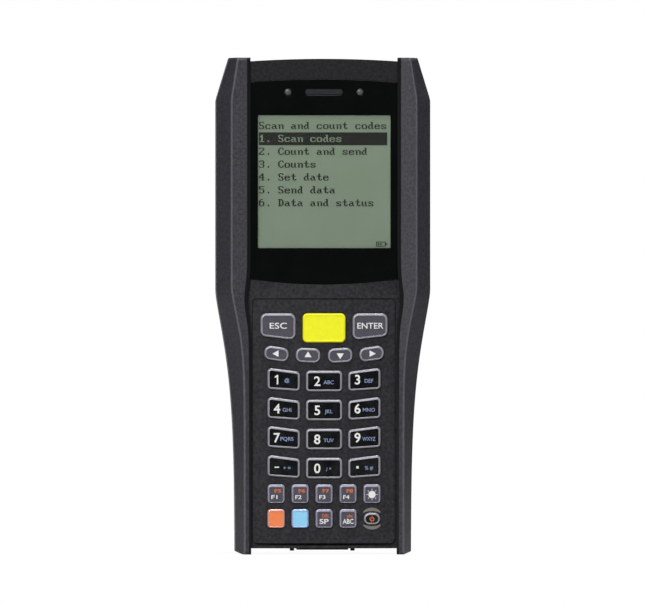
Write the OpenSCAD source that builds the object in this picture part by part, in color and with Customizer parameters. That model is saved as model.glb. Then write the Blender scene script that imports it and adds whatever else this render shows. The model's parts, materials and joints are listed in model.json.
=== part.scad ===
// Portable barcode data terminal, standing upright on the feet of its side rails.
// +X is the right of the keypad, the screen faces -Y, +Z is up. The origin is the
// middle of the bounding box's base. Millimetres.

/* [Overall] */
// Length from the rails' feet to their tops
body_l = 170; // [168:1:206]
// Width across the side rails at the head
head_w = 73.3; // [70:0.1:90]
// Width across the side rails at the grip
foot_w = 60.1; // [59:0.1:74]
// Depth from the rails' front faces to the back of the head
head_d = 36; // [34:0.5:44]
// Depth from the rails' front faces to the back of the grip
grip_d = 28; // [27:0.5:32]

/* [Rails] */
// Width of a rail at the head, silhouette to inner wall
rail_head_w = 10.26; // [9:0.1:13]
// Width of a rail at the grip
rail_foot_w = 4.35; // [4:0.05:6]
// Slanted outer facet's width at the head
facet_head_w = 4.85; // [3:0.1:6]
// Slanted outer facet's width at the grip
facet_foot_w = 2.7; // [1.5:0.1:3.2]
// Depth of the slanted outer facet
facet_depth = 8; // [5:0.5:10]
// How far the rails reach behind the middle plane
rail_rear = 6; // [4:0.5:7]
// Length of the tapered shoulder at the top of a rail
shoulder_l = 14.3; // [10:0.1:20]
// Taper of the rail's silhouette along the shoulder, degrees
shoulder_angle = 17; // [8:0.5:20]
// Height of the chamfer under a rail's foot
foot_chamfer = 1; // [0.5:0.1:2]
// How far a rail's inner lip leans over the lens, at the head
lip_head_w = 1.25; // [0.6:0.05:1.6]
// The same lip beside the keypad
lip_foot_w = 0.8; // [0.4:0.05:1]

/* [Shells] */
// Wall of both shells
wall = 2; // [1.6:0.1:2.4]
// How far the lens lies behind the rails' front faces
lens_sunk = 1.8; // [1:0.1:2.5]
// How far the middle of the keypad lies behind the rails' front faces
panel_sunk = 1.2; // [0.9:0.1:2]
// Radius of the keypad's crown across its width
crown_r = 200; // [150:5:400]
// Height of the raised key field over the shell around it
field_step = 0.4; // [0.2:0.1:0.8]
// Width of the raised key field
field_w = 48.6; // [46:0.2:49]
// Height of the key field's top edge over the feet
field_top = 87.3; // [86:0.1:90]
// Height of the shell's base over the feet
base_z = 2.1; // [1.5:0.1:3]
// Length of the end cap at the top, without its arched crown
cap_l = 8.6; // [7:0.1:12]
// Play between pieces that are laid or slid together
fit_gap = 0.15; // [0.1:0.05:0.25]

/* [Display] */
// Thickness of the display lens
lens_t = 1.6; // [1:0.1:2]
// Straight length of the lens at its sides
lens_l = 66.8; // [64:0.1:68]
// How far the lens' lower edge bows down
lens_low_bow = 2.1; // [1:0.1:3]
// How far the lens' upper edge bows up
lens_top_bow = 1.2; // [0.5:0.1:2]
// Width of the screen's visible area
screen_w = 45.6; // [40:0.1:46]
// Height of the screen's visible area
screen_h = 45.4; // [40:0.1:46]
// Height of the screen's lower edge over the lens' lower corners
screen_rise = 10.3; // [9:0.1:13]
// Width of the speaker slot
slot_w = 13.2; // [8:0.1:16]
// Height of the speaker slot
slot_h = 2.3; // [1.5:0.1:3]
// Distance of the speaker slot below the lens' upper corners
slot_drop = 3.1; // [2.5:0.1:4]
// Distance of each indicator from the middle
lamp_x = 12.34; // [10:0.1:15]
// Diameter of an indicator
lamp_d = 2.4; // [1.5:0.1:3]

/* [Keys] */
// Key travel
key_travel = 0.6; // [0.3:0.05:0.65]
// How far the key tops stand over the key field
key_proud = 1.1; // [0.8:0.05:1.2]
// Play round a key in its hole
key_gap = 0.15; // [0.1:0.01:0.2]
// Width of the flange that keeps a key behind the shell
key_flange = 0.55; // [0.4:0.05:0.6]
// Width of the bevel round a key top
key_bevel = 0.35; // [0.2:0.05:0.5]
// Pitch of the digit rows
digit_pitch = 9.93; // [9.6:0.01:10.2]
// Pitch of the small keys in a row
small_pitch = 8.2; // [8:0.05:8.4]
// Width of a small key
small_w = 5.9; // [5:0.1:6.1]
// Height of a small key
small_h = 6.4; // [5.5:0.1:6.6]

/* [Battery and cover] */
// Length of the battery pack
battery_l = 62.6; // [56:0.1:64]
// Width of the battery pack
battery_w = 39.4; // [34:0.1:40]
// Thickness of the battery cover
cover_t = 2; // [1.6:0.1:2.2]
// Height of the battery cover's lower edge over the feet
cover_z = 12.4; // [12.2:0.1:14]
// Diameter of the cover's hinge stubs
stub_d = 2.4; // [1.8:0.1:2.6]
// Play round a shaft, on the radius
shaft_gap = 0.05; // [0.03:0.01:0.1]
// Travel of the battery lock
lock_travel = 2.4; // [2:0.1:2.6]

/* [Scanner and motor] */
// Width of the scan window
window_w = 36; // [28:0.5:40]
// Depth of the scan window
window_d = 16; // [12:0.5:17]
// Diameter of the mirror's pin
mirror_pin_d = 1.5; // [1:0.1:2]
// Diameter of the vibration motor
motor_d = 4.4; // [4:0.1:5]
// Diameter of the case screws
screw_d = 2; // [1.6:0.1:2.2]

/* [Hidden] */
$fn = 64;
front_y = -head_d / 2;            // rails' front faces
back_y = head_d / 2;              // back of the head
grip_y = front_y + grip_d;        // back of the grip
split_y = -3;                     // plane between the two shells
rail_back = rail_rear;            // plane where the rails end on the rear shell
lens_y = front_y + lens_sunk;     // lens face
seat_y = lens_y + lens_t;         // face that carries the lens
crown_y = front_y + panel_sunk + field_step;  // shell's crown line round the field
field_y = front_y + panel_sunk;   // key field's crown line
inner_y = seat_y + 0.4;           // inside of the front wall behind the keys
shoulder_z = body_l - shoulder_l;
cap_z = body_l - cap_l;           // lower face of the end cap
waist_z = body_l - 79.7;          // where the head's full width ends
lens_top = cap_z;                 // lens corners
lens_low = lens_top - lens_l;
screen_z = lens_low + screen_rise;
slot_z = lens_top - slot_drop;
cap_arch = 0.93;                  // rise of the end cap's arched top
cap_top = body_l - 0.4;
nose_drop = 4;                    // how far the back leans in towards the top
corner_x = 9;                     // width of the rounded corners along the back
arc_steps = 4;
rear_edge = 0.9;                  // flat strip of the rear shell's side behind the rails
rear_wall = 2.2;
screen_wall = 1.2;                // front wall behind the lens
screen_y = seat_y + screen_wall;  // inside of that wall
lcd_t = 2.1;

key_top = field_y - key_proud;
flange_y = inner_y + 0.1;
flange_t = 0.8;
mat_y = flange_y + flange_t + key_travel + 0.1;
mat_t = 1.2;
key_board_y = mat_y + mat_t;
key_board_t = 1.2;
main_board_y = -8.2;
main_board_t = 1.4;
seal_t = 0.8;
speaker_w = 15;
speaker_t = 3.2;
bay_floor_y = -2.6;
bay_floor_t = 1.4;
battery_y = bay_floor_y + bay_floor_t + 0.1;
cover_y = grip_y - cover_t;
battery_t = cover_y - battery_y - 0.4;
bay_low = cover_z + 0.9;
bay_top = bay_low + battery_l + 0.7;
bay_w = battery_w + 0.6;
hinge_z = bay_top + 2.5;
knuckle_r = 2.2;
hinge_y = grip_y - knuckle_r;
cover_w = battery_w + 1.8;
stub_l = 2.4;
cavity_z = hinge_z + 4.6;         // floor of the head's hollow
lock_w = 14;
lock_h = 4.4;
lock_z = cover_z - lock_h - lock_travel - 0.6;
lock_flange = 1;
tongue_w = 9;
tongue_t = 0.8;
tongue_l = 2.6;
pocket_gap = 0.15;

boss_r = 1.9;
post_r = 2.4;
// Screws: x and z of each one, on both sides, their posts just inside the walls
screw_spots = [for (z = [base_z + wall + post_r + 0.2, field_top + 0.4, cap_z - wall - post_r - 1])
    [inner_x(z) - wall - post_r - 0.1, z]];
screw_head_d = 3.8;
screw_head_y = 0.5;
screw_l = 11.5;

dock_w = 17.6;
dock_y = 2;
dock_d = 7;
lug_x = 10.4;
lug_w = 1.4;
dock_pads = 8;

window_y = 3;                     // middle of the scan window
mirror_z = cap_z - 14;
mirror_y = 6;
mirror_hub_l = 7;
chassis_w = 24;
chassis_y = 13;
motor_z = cavity_z + 8;
motor_y = main_board_y + main_board_t + motor_d / 2;
motor_l = 9;
weight_l = 3;
motor_shaft_d = 0.8;

// [name, centre x, width, top z at the outer side, height at the outer side,
//  drop of the top edge towards the middle, drop of the lower edge, corner radius]
digit_names = [["1", "2", "3"], ["4", "5", "6"], ["7", "8", "9"], ["minus", "0", "point"]];
digits = [for (r = [0:3], c = [-1:1])
    c == 0
    ? [str("key_", digit_names[r][1]), 0, 12.4, 62.9 - r * digit_pitch, 7.06, 0, 0, 1.3]
    : [str("key_", digit_names[r][c + 1]), c * 13.8, 11.1, 63.75 - r * digit_pitch, 7.13, 1.1, 0.58, 1.3]];
small_top = [for (i = [0:4]) [["key_f1", "key_f2", "key_f3", "key_f4", "key_light"][i],
    (i - 2) * small_pitch, small_w, 24.03, small_h, 0, 0, 1.1]];
small_low = [for (i = [0:3]) [["key_orange", "key_blue", "key_space", "key_alpha"][i],
    (i - 2) * small_pitch, small_w, 15.56, small_h, 0, 0, 1.1]];
keys = concat(
    [["key_escape", -15.75, 12, 82.5, 7.9, 0, 0.93, 2],
     ["key_scan", 0, 14.6, 82.5, 9.9, 0, 0, 1.6],
     ["key_enter", 15.75, 12, 82.5, 7.9, 0, 0.93, 2],
     ["key_left", -16.28, 8.3, 71.4, 4.7, 0.6, 0.6, 2.1],
     ["key_up", -5.5, 8.36, 70.75, 4.9, 0.2, 0.2, 2.1],
     ["key_down", 5.5, 8.36, 70.75, 4.9, 0.2, 0.2, 2.1],
     ["key_right", 16.28, 8.3, 71.4, 4.7, 0.6, 0.6, 2.1]],
    digits, small_top, small_low,
    [["key_power", 2 * small_pitch, 5.6, 14.3, 4, 0, 0, 1.95]]);

key_colours = [["key_scan", "#f4f31b"], ["key_orange", "#ed8755"], ["key_blue", "#97d1f0"]];

// ---- profiles along the height ----

// 1 above z0, falling smoothly towards 0 below it
function fall(z, z0, len, steep) = z >= z0 ? 1 : exp(-pow((z0 - z) / len, steep));
function over(z, z0) = max(0, z - z0);

function outer_x(z) = foot_w / 2 + (head_w - foot_w) / 2 * fall(z, waist_z, 27.1, 1.35)
    - over(z, shoulder_z) * tan(shoulder_angle) - max(0, foot_chamfer - z) * 2.2
    - over(z, body_l - 0.6);
function ridge_x(z) = min(outer_x(z) - 0.6, foot_w / 2 - facet_foot_w
    + ((head_w - foot_w) / 2 - facet_head_w + facet_foot_w) * fall(z, waist_z + 1.7, 16.1, 1.6)
    - over(z, shoulder_z) * tan(shoulder_angle) / 2);
function inner_x(z) = foot_w / 2 - rail_foot_w
    + ((head_w - foot_w) / 2 - rail_head_w + rail_foot_w) * fall(z, waist_z, 14, 1.6)
    + exp(-pow((z - waist_z + 3.5) / 7, 2));
function rear_x(z) = outer_x(z) - 0.6 - max(0, base_z + 0.8 - z);
function rail_y(z) = front_y + 0.7 * (1 - fall(z, waist_z, 27.1, 1.35))
    + over(z, body_l - 0.8) + max(0, 1 - z) * 0.6;
function rear_y(z) = grip_y + (back_y - grip_y) * fall(z, waist_z + 22, 15, 2.2)
    - nose_drop * pow(over(z, shoulder_z - 2) / (shoulder_l + 1), 1.6)
    - max(0, base_z + 0.8 - z);

// Heights at which the outlines have points
heights = concat([0, foot_chamfer, base_z, base_z + 0.8], [for (i = [2:24]) waist_z * i / 24],
    [for (d = [4, 8, 12, 16, 22]) waist_z + d], [shoulder_z - 2, shoulder_z, cap_z],
    [for (d = [6, 4, 2.4, 1.6, 0.8, 0]) body_l - d]);
rear_heights = concat([base_z + 0.8], [for (i = [2:2:24]) waist_z * i / 24],
    [for (d = [5, 10, 14, 18, 22]) waist_z + d], [shoulder_z - 2, shoulder_z + 3],
    [for (d = [6, 4, 2.4, 1.6]) body_l - d]);
function pick(list, a, b) = concat([a], [for (z = list) if (z > a + 0.01 && z < b - 0.01) z], [b]);
function between(a, b) = pick(heights, a, b);
function rear_between(a, b) = pick(rear_heights, a, b);

// ---- shapes ----

// Solid skinned over rings [z, [[x, y] ...]] that run anticlockwise seen from above
module skin(rings) {
    n = len(rings[0][1]);
    m = len(rings);
    polyhedron(
        [for (r = rings, p = r[1]) [p[0], p[1], r[0]]],
        concat([[for (j = [0:n - 1]) j]],
            [for (i = [0:m - 2], j = [0:n - 1]) [i * n + j, (i + 1) * n + j, (i + 1) * n + (j + 1) % n]],
            [for (i = [0:m - 2], j = [0:n - 1]) [i * n + j, (i + 1) * n + (j + 1) % n, i * n + (j + 1) % n]],
            [[for (j = [n - 1:-1:0]) (m - 1) * n + j]]),
        convexity = 6);
}

// Draws its 2D child in X and Z, from plane y0 back to plane y1
module slab(y0, y1) {
    translate([0, y1, 0]) rotate([90, 0, 0]) linear_extrude(y1 - y0, convexity = 8) children();
}

// Draws its 2D child in Y and Z, from plane x0 to plane x1
module across(x0, x1) {
    translate([x1, 0, 0]) rotate([90, 0, -90]) mirror([1, 0, 0]) linear_extrude(x1 - x0) children();
}

// Box between two corners
module block(a, b) {
    translate(a) cube(b - a);
}

// Cylinder along Y from y0 to y1
module rod_y(x, z, r, y0, y1) {
    translate([x, y0, z]) rotate([-90, 0, 0]) cylinder(r = r, h = y1 - y0);
}

// Cylinder along X from x0 to x1
module rod_x(y, z, r, x0, x1) {
    translate([x0, y, z]) rotate([0, 90, 0]) cylinder(r = r, h = x1 - x0);
}

module both_sides() {
    children();
    mirror([1, 0, 0]) children();
}

// Outline between two heights, its half width given by inner_x less an inset
module between_rails(z0, z1, inset) {
    zs = between(z0, z1);
    polygon(concat([for (z = zs) [inner_x(z) - inset, z]],
        [for (i = [len(zs) - 1:-1:0]) [-inner_x(zs[i]) + inset, zs[i]]]));
}

// The band of the outline between the rails from z0 up to z1
module band(z0, z1) {
    intersection() {
        between_rails(base_z, cap_z, 0);
        translate([-head_w, z0]) square([2 * head_w, z1 - z0]);
    }
}

// Convex outline round circles of radius r on the points c, given anticlockwise
module round_outline(c, r) {
    n = len(c);
    polygon([for (i = [0:n - 1], e = [0, 1])
        let (d = c[(i + 1) % n] - c[i], u = [d[1], -d[0]] / norm(d)) c[(i + e) % n] + u * r]);
    for (p = c) translate(p) circle(r = r);
}

module round_rect(x0, z0, x1, z1, r) {
    round_outline([[x0 + r, z0 + r], [x1 - r, z0 + r], [x1 - r, z1 - r], [x0 + r, z1 - r]], r);
}

// A key's outline, wider all round by grow
module key_outline(k, grow) {
    s = k[1] == 0 ? 1 : sign(k[1]);
    r = k[7];
    xo = k[1] + s * (k[2] / 2 - r);
    xi = k[1] - s * (k[2] / 2 - r);
    zo = k[3] - r;
    lo = k[3] - k[4] + r;
    pts = [[xi, lo - k[6]], [xo, lo], [xo, zo], [xi, zo - k[5]]];
    round_outline(s > 0 ? pts : [for (i = [3:-1:0]) pts[i]], r + grow);
}

// ---- casing ----

function lip_w(z) = lip_foot_w + (lip_head_w - lip_foot_w) * fall(z, waist_z, 14, 1.6);
function rail_ring(z) = [[inner_x(z), rail_back], [inner_x(z), lens_y - fit_gap],
    [inner_x(z) - lip_w(z), lens_y - fit_gap], [inner_x(z) - lip_w(z), lens_y - fit_gap - 0.25],
    [inner_x(z), rail_y(z) + 0.1], [inner_x(z) + 0.2, rail_y(z)], [ridge_x(z) - 0.35, rail_y(z)],
    [ridge_x(z) + 0.2, rail_y(z) + 0.35], [outer_x(z) - 0.3, rail_y(z) + facet_depth - 0.7],
    [outer_x(z), rail_y(z) + facet_depth], [outer_x(z), rail_back - 1.2],
    [outer_x(z) - 0.6, rail_back]];

module rail() {
    skin([for (z = between(0, body_l)) [z, rail_ring(z)]]);
}

module left_rail() {
    color("#3a3a3f") mirror([1, 0, 0]) rail();
}

module right_rail() {
    color("#3a3a3f") rail();
}

// Section behind the rails, moved in by inset: flat back, rounded corners
function rear_half(z, inset) = [for (i = [0:arc_steps])
    let (a = 90 * i / arc_steps, ry = rear_y(z) - rail_back - rear_edge)
    [rear_x(z) - corner_x + (corner_x - inset) * cos(a), rail_back + (i == 0 ? inset : rear_edge)
        + (ry - inset) * sin(a)]];
function rear_ring(z, inset) = let (h = rear_half(z, inset)) concat(h,
    [for (i = [len(h) - 1:-1:0]) [-h[i][0], h[i][1]]]);

// Upright block whose front is crowned across the width, its middle at y0
module crown(y0) {
    half = head_w / 2;
    linear_extrude(body_l) polygon(concat([for (i = [-12:12]) let (x = half * i / 12) [x, y0 + crown_sag(x)]],
        [[half, seat_y + 1], [-half, seat_y + 1]]));
}
function crown_sag(x) = x * x / (2 * crown_r);

// Front wall below the lens, down to the base: the crowned shell and the raised field
module keypad_face() {
    intersection() {
        slab(crown_y - 1, seat_y + 0.1) difference() {
            band(base_z, lens_low);
            lens_outline(fit_gap);
        }
        crown(crown_y);
    }
    intersection() {
        slab(field_y - 1, seat_y + 0.1)
            round_rect(-field_w / 2, base_z + 1.8, field_w / 2, field_top, 1.5);
        crown(field_y);
    }
}

module front_housing() {
    color("#38373b") difference() {
        union() {
            slab(seat_y, split_y) difference() {
                between_rails(base_z, cap_z, 0);
                between_rails(base_z + wall, cap_z - wall, wall);
            }
            slab(seat_y, seat_y + screen_wall) band(field_top + 1, cap_z);
            slab(seat_y, inner_y) band(base_z, field_top + 2);
            keypad_face();
            both_sides() for (s = screw_spots) rod_y(s[0], s[1], boss_r, seat_y, main_board_y);
        }
        for (k = keys) slab(front_y, inner_y + 1) key_outline(k, key_gap);
        slab(seat_y - 1, seat_y + screen_wall + 1) round_rect(-screen_w / 2 - 0.6, screen_z - 0.9,
            screen_w / 2 + 0.6, screen_z + screen_h + 0.9, 0.8);
        both_sides() for (s = screw_spots)
            rod_y(s[0], s[1], screw_d / 2, screw_head_y - screw_l - 0.4, split_y);
        for (i = [-2:2]) rod_y(i * 2.4, slot_z, 0.5, seat_y - 1, seat_y + screen_wall + 1);
        both_sides() rod_y(lamp_x, slot_z, lamp_d / 2 + 0.05, seat_y - 1, seat_y + screen_wall + 1);
    }
}

// Hollow behind the screen: follows the rails at the sides and the back at its rear
module head_hollow() {
    zs = rear_between(cavity_z - 1, cap_z + 1);
    intersection() {
        slab(split_y - 0.1, back_y) between_rails(cavity_z, cap_z + 0.1, rear_wall);
        across(-head_w / 2, head_w / 2) polygon(concat([for (z = zs) [rear_y(z) - rear_wall, z]],
            [[split_y - 1, cap_z + 1], [split_y - 1, cavity_z - 1]]));
    }
}

module rear_housing() {
    color("#343337") difference() {
        union() {
            difference() {
                union() {
                    skin([for (z = rear_between(base_z, cap_z)) [z, rear_ring(z, 0)]]);
                    slab(split_y, rail_back + rear_edge) between_rails(base_z, cap_z, 0);
                }
                head_hollow();
                block([-bay_w / 2, bay_floor_y + bay_floor_t, bay_low], [bay_w / 2, back_y, bay_top]);
                block([-cover_w / 2 - fit_gap, cover_y - fit_gap, cover_z - fit_gap],
                    [cover_w / 2 + fit_gap, back_y, bay_top + 0.1]);
                slab(split_y - 0.1, bay_floor_y) between_rails(base_z + wall, cap_z - wall, wall);
                block([-dock_w / 2 - 4, split_y - 0.1, base_z + wall],
                    [dock_w / 2 + 4, dock_y + dock_d / 2 + 0.2, bay_low - 1.6]);
            }
            both_sides() for (s = screw_spots) {
                rod_y(s[0], s[1], post_r, main_board_y + main_board_t, screw_head_y);
                rod_y(s[0], s[1], screw_head_d / 2 + 1.4, screw_head_y - 1.6, rear_y(s[1]) - 1);
            }
        }
        both_sides() for (s = screw_spots) {
            rod_y(s[0], s[1], screw_d / 2 + 0.1, main_board_y, screw_head_y + 0.1);
            rod_y(s[0], s[1], screw_head_d / 2 + 0.15, screw_head_y, back_y + 1);
        }
        // hinge notch and the bores for the cover's stubs
        block([-cover_w / 2 - fit_gap, hinge_y - knuckle_r - fit_gap, bay_top - 0.1],
            [cover_w / 2 + fit_gap, back_y, hinge_z + knuckle_r + fit_gap]);
        rod_x(hinge_y, hinge_z, stub_d / 2 + shaft_gap, -cover_w / 2 - stub_l - 0.1,
            cover_w / 2 + stub_l + 0.1);
        // slideway of the lock
        block([-lock_w / 2 - 0.1, cover_y - 0.1, lock_z - 0.3], [lock_w / 2 + 0.1, back_y, cover_z]);
        block([-lock_w / 2 - lock_flange - 0.1, cover_y - 0.1, lock_z - 0.3],
            [lock_w / 2 + lock_flange + 0.1, cover_y + 0.9, cover_z]);
        // dock connector
        block([-dock_w / 2 - 0.05, dock_y - dock_d / 2 - 0.05, 0],
            [dock_w / 2 + 0.05, dock_y + dock_d / 2 + 0.05, base_z + wall + 1]);
        both_sides() block([lug_x - lug_w / 2 - 0.05, dock_y - 1.55, 0],
            [lug_x + lug_w / 2 + 0.05, dock_y + 1.55, base_z + wall + 1]);
        // battery contacts
        for (i = [0:3]) block([contact_x(i) - 0.9, bay_floor_y - 1, bay_top - 0.75],
            [contact_x(i) + 0.9, bay_floor_y + bay_floor_t + 0.1, bay_top - 0.05]);
        // groove for the seal
        slab(split_y - 0.1, split_y + seal_t) seal_outline();
    }
}

module seal_outline() {
    difference() {
        between_rails(base_z + 0.6, cap_z - 0.6, 0.6);
        between_rails(base_z + 1.4, cap_z - 1.4, 1.4);
    }
}

module case_seal() {
    color("#1c1c1e") slab(split_y, split_y + seal_t) seal_outline();
}

module top_cap() {
    arch_r = (pow(inner_x(cap_z), 2) + pow(cap_arch, 2)) / (2 * cap_arch);
    floor_z = cap_top - 2.1;
    color("#3c3b40") difference() {
        intersection() {
            union() {
                skin([for (z = rear_between(cap_z, cap_top)) [z, rear_ring(z, max(0, z - cap_top + 0.8))]]);
                slab(lens_y + 0.2, rail_back + rear_edge) between_rails(cap_z, cap_top, 0);
            }
            translate([0, back_y + 1, cap_top - arch_r]) rotate([90, 0, 0])
                cylinder(r = arch_r, h = head_d + 2, $fn = 200);
        }
        slab(lens_y - 1, seat_y) lens_outline(fit_gap);
        block([-inner_x(cap_z) + wall, seat_y + 1.5, cap_z - 1],
            [inner_x(cap_z) - wall, rail_back + 6, floor_z - 1.5]);
        block([-window_w / 2 - 0.1, window_y - window_d / 2 - 0.1, floor_z],
            [window_w / 2 + 0.1, window_y + window_d / 2 + 0.1, cap_top + 1]);
        block([-window_w / 2 + 1, window_y - window_d / 2 + 1, cap_z],
            [window_w / 2 - 1, window_y + window_d / 2 - 1, cap_top + 1]);
    }
}

module scan_window() {
    color("#5a0f14") translate([0, 0, cap_top - 2.1]) linear_extrude(1.4)
        translate([0, window_y])
        round_outline([[-window_w / 2 + 0.8, -window_d / 2 + 0.8], [window_w / 2 - 0.8, -window_d / 2 + 0.8],
            [window_w / 2 - 0.8, window_d / 2 - 0.8], [-window_w / 2 + 0.8, window_d / 2 - 0.8]], 0.8);
}

// ---- display ----

// Lens outline: straight sides, arched top and bottom edges
module lens_outline(grow) {
    half = inner_x(cap_z) - 0.45;
    low_r = (half * half + lens_low_bow * lens_low_bow) / (2 * lens_low_bow);
    top_r = (half * half + lens_top_bow * lens_top_bow) / (2 * lens_top_bow);
    intersection() {
        translate([-half - grow, lens_low - lens_low_bow - 1])
            square([2 * half + 2 * grow, lens_l + lens_low_bow + lens_top_bow + 2]);
        translate([0, lens_low - lens_low_bow + low_r]) circle(r = low_r + grow, $fn = 400);
        translate([0, lens_top + lens_top_bow - top_r]) circle(r = top_r + grow, $fn = 400);
    }
}

module slot_outline(grow) {
    round_outline([[-slot_w / 2 + slot_h / 2, slot_z], [slot_w / 2 - slot_h / 2, slot_z]], slot_h / 2 + grow);
}

module display_lens() {
    color("#0c100e") slab(lens_y, seat_y) difference() {
        lens_outline(0);
        slot_outline(0);
        for (s = [-1, 1]) translate([s * lamp_x, slot_z]) circle(d = lamp_d + 0.1);
    }
}

module lcd_panel() {
    color("#82917d") slab(screen_y + 0.1, screen_y + lcd_t)
        round_rect(-inner_x(cap_z) + wall + 0.3, screen_z - 2.8, inner_x(cap_z) - wall - 0.3,
            screen_z + screen_h + 1.2, 0.5);
}

module lcd_frame() {
    color("#d8dad6") slab(screen_y + lcd_t, main_board_y)
        round_rect(-inner_x(cap_z) + wall + 0.2, screen_z - 3.6, inner_x(cap_z) - wall - 0.2,
            screen_z + screen_h + 1.6, 0.6);
}

module speaker_grille() {
    color("#4b4f50") slab(lens_y + 0.5, seat_y) slot_outline(-0.15);
}

module speaker() {
    color("#2b2b2e") difference() {
        slab(screen_y, screen_y + speaker_t) round_rect(-speaker_w / 2, slot_z - 5.2,
            speaker_w / 2, cap_z - wall - 0.2, 1);
        slab(screen_y - 0.2, screen_y + 0.5) round_rect(-speaker_w / 2 + 1, slot_z - 4.2,
            speaker_w / 2 - 1, slot_z + 0.3, 0.8);
    }
}

module lamp(x) {
    rod_y(x, slot_z, lamp_d / 2, lens_y + 0.1, screen_y + 0.1);
    intersection() {
        rod_y(x, slot_z, lamp_d / 2 + 0.6, screen_y, screen_y + 0.8);
        block([x - lamp_d, screen_y - 1, 0], [x + lamp_d, screen_y + 2, cap_z - wall - 0.05]);
    }
}

module status_lamp() {
    color("#6d7271") lamp(-lamp_x);
}

module charge_lamp() {
    color("#6d7271") lamp(lamp_x);
}

// ---- keypad and boards ----

module key(k) {
    y = key_top + crown_sag(k[1]);
    slab(y, y + key_bevel + 0.1) key_outline(k, -key_bevel);
    slab(y + key_bevel, flange_y + 0.1) key_outline(k, 0);
    slab(flange_y, flange_y + flange_t) key_outline(k, key_flange);
}

module mat_outline(inset) {
    notch_r = boss_r + 0.2;
    difference() {
        between_rails(base_z + wall + inset, field_top - 1, wall + inset);
        both_sides() {
            translate(screw_spots[1]) circle(r = notch_r);
            // the lower posts stand in open corners
            translate(screw_spots[0]) {
                circle(r = notch_r);
                translate([0, -10]) square([10, 10 + notch_r]);
                translate([-notch_r, -10]) square([10, 10]);
            }
        }
    }
}

module keypad_mat() {
    color("#5c5f63") slab(mat_y, mat_y + mat_t) mat_outline(0.3);
}

module key_board() {
    color("#1f5c3a") slab(key_board_y, key_board_y + key_board_t) mat_outline(0.1);
}

module main_board() {
    y = main_board_y + main_board_t;
    color("#1d6b45") difference() {
        union() {
            slab(main_board_y, y) between_rails(base_z + wall + 0.2, cap_z - wall - 0.2, wall + 0.2);
            block([-16, y - 0.1, waist_z + 14], [2, y + 1.8, waist_z + 32]);
            block([6, y - 0.1, waist_z + 18], [18, y + 1.4, waist_z + 26]);
            block([-14, y - 0.1, bay_low + 9], [14, y + 2.2, bay_low + 29]);
            block([-11, y - 0.1, bay_top - 24], [-1, y + 1.6, bay_top - 10]);
            block([4, y - 0.1, bay_top - 24], [13, y + 1.2, bay_top - 12]);
            // connector to the key board
            block([-12, key_board_y + key_board_t + fit_gap, 30], [12, main_board_y + 0.1, 40]);
        }
        both_sides() for (s = screw_spots) rod_y(s[0], s[1], screw_d / 2 + 0.1, main_board_y - 1, y + 1);
    }
}

module case_screws() {
    color("#8d8f93") both_sides() for (s = screw_spots) {
        rod_y(s[0], s[1], screw_d / 2, screw_head_y - screw_l, screw_head_y + 0.1);
        difference() {
            rod_y(s[0], s[1], screw_head_d / 2, screw_head_y, screw_head_y + 1.6);
            translate([s[0], screw_head_y + 0.9, s[1]]) for (a = [0, 90]) rotate([0, a, 0])
                block([-1.1, 0, -0.25], [1.1, 2, 0.25]);
        }
    }
}

// ---- power and dock ----

function contact_x(i) = -6 + 4 * i;

module battery_pack() {
    color("#2f3236") difference() {
        slab(battery_y, battery_y + battery_t)
            round_rect(-battery_w / 2, bay_low + 0.1, battery_w / 2, bay_low + 0.1 + battery_l, 2);
        for (i = [0:3]) block([contact_x(i) - 1, battery_y - 1, bay_low + battery_l - 1.9],
            [contact_x(i) + 1, battery_y + 3.2, bay_low + battery_l + 1]);
    }
}

module battery_contacts() {
    z = bay_top - 0.6;
    color("#c9a24a") for (i = [0:3]) {
        block([contact_x(i) - 0.8, main_board_y + main_board_t, z], [contact_x(i) + 0.8, battery_y + 2.4, z + 0.4]);
        block([contact_x(i) - 0.8, battery_y + 2, z - 1.7], [contact_x(i) + 0.8, battery_y + 2.4, z + 0.1]);
    }
}

module dock_connector() {
    y0 = dock_y - dock_d / 2;
    y1 = dock_y + dock_d / 2;
    color("#1f2023") difference() {
        union() {
            block([-dock_w / 2, y0, base_z - 0.7], [dock_w / 2, y1, base_z + wall + 1]);
            both_sides() block([lug_x - lug_w / 2, dock_y - 1.5, base_z - 1.04],
                [lug_x + lug_w / 2, dock_y + 1.5, base_z + wall + 1]);
            block([-dock_w / 2 - 3.6, main_board_y + main_board_t, base_z + wall],
                [dock_w / 2 + 3.6, y1, base_z + wall + 4.4]);
        }
        for (i = [0:dock_pads - 1]) block([pad_x(i) - 0.5, y0 + 1.2, 0], [pad_x(i) + 0.5, y1 - 1.2, base_z]);
    }
}

function pad_x(i) = (i - (dock_pads - 1) / 2) * 2;

module dock_contacts() {
    y0 = dock_y - dock_d / 2;
    y1 = dock_y + dock_d / 2;
    color("#d0a94f") for (i = [0:dock_pads - 1])
        block([pad_x(i) - 0.5, y0 + 1.2, base_z - 0.4], [pad_x(i) + 0.5, y1 - 1.2, base_z]);
}

module battery_cover() {
    color("#37363a") difference() {
        union() {
            slab(cover_y, grip_y) {
                round_rect(-cover_w / 2, cover_z, cover_w / 2, bay_top, 2.5);
                translate([-cover_w / 2, bay_top - 5]) square([cover_w, hinge_z - bay_top + 5]);
            }
            rod_x(hinge_y, hinge_z, knuckle_r, -cover_w / 2, cover_w / 2);
            rod_x(hinge_y, hinge_z, stub_d / 2, -cover_w / 2 - stub_l, cover_w / 2 + stub_l);
        }
        block([-tongue_w / 2 - pocket_gap, cover_y + 0.35, cover_z - 1],
            [tongue_w / 2 + pocket_gap, cover_y + 0.5 + tongue_t + pocket_gap, cover_z + 2.4]);
    }
}

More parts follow.
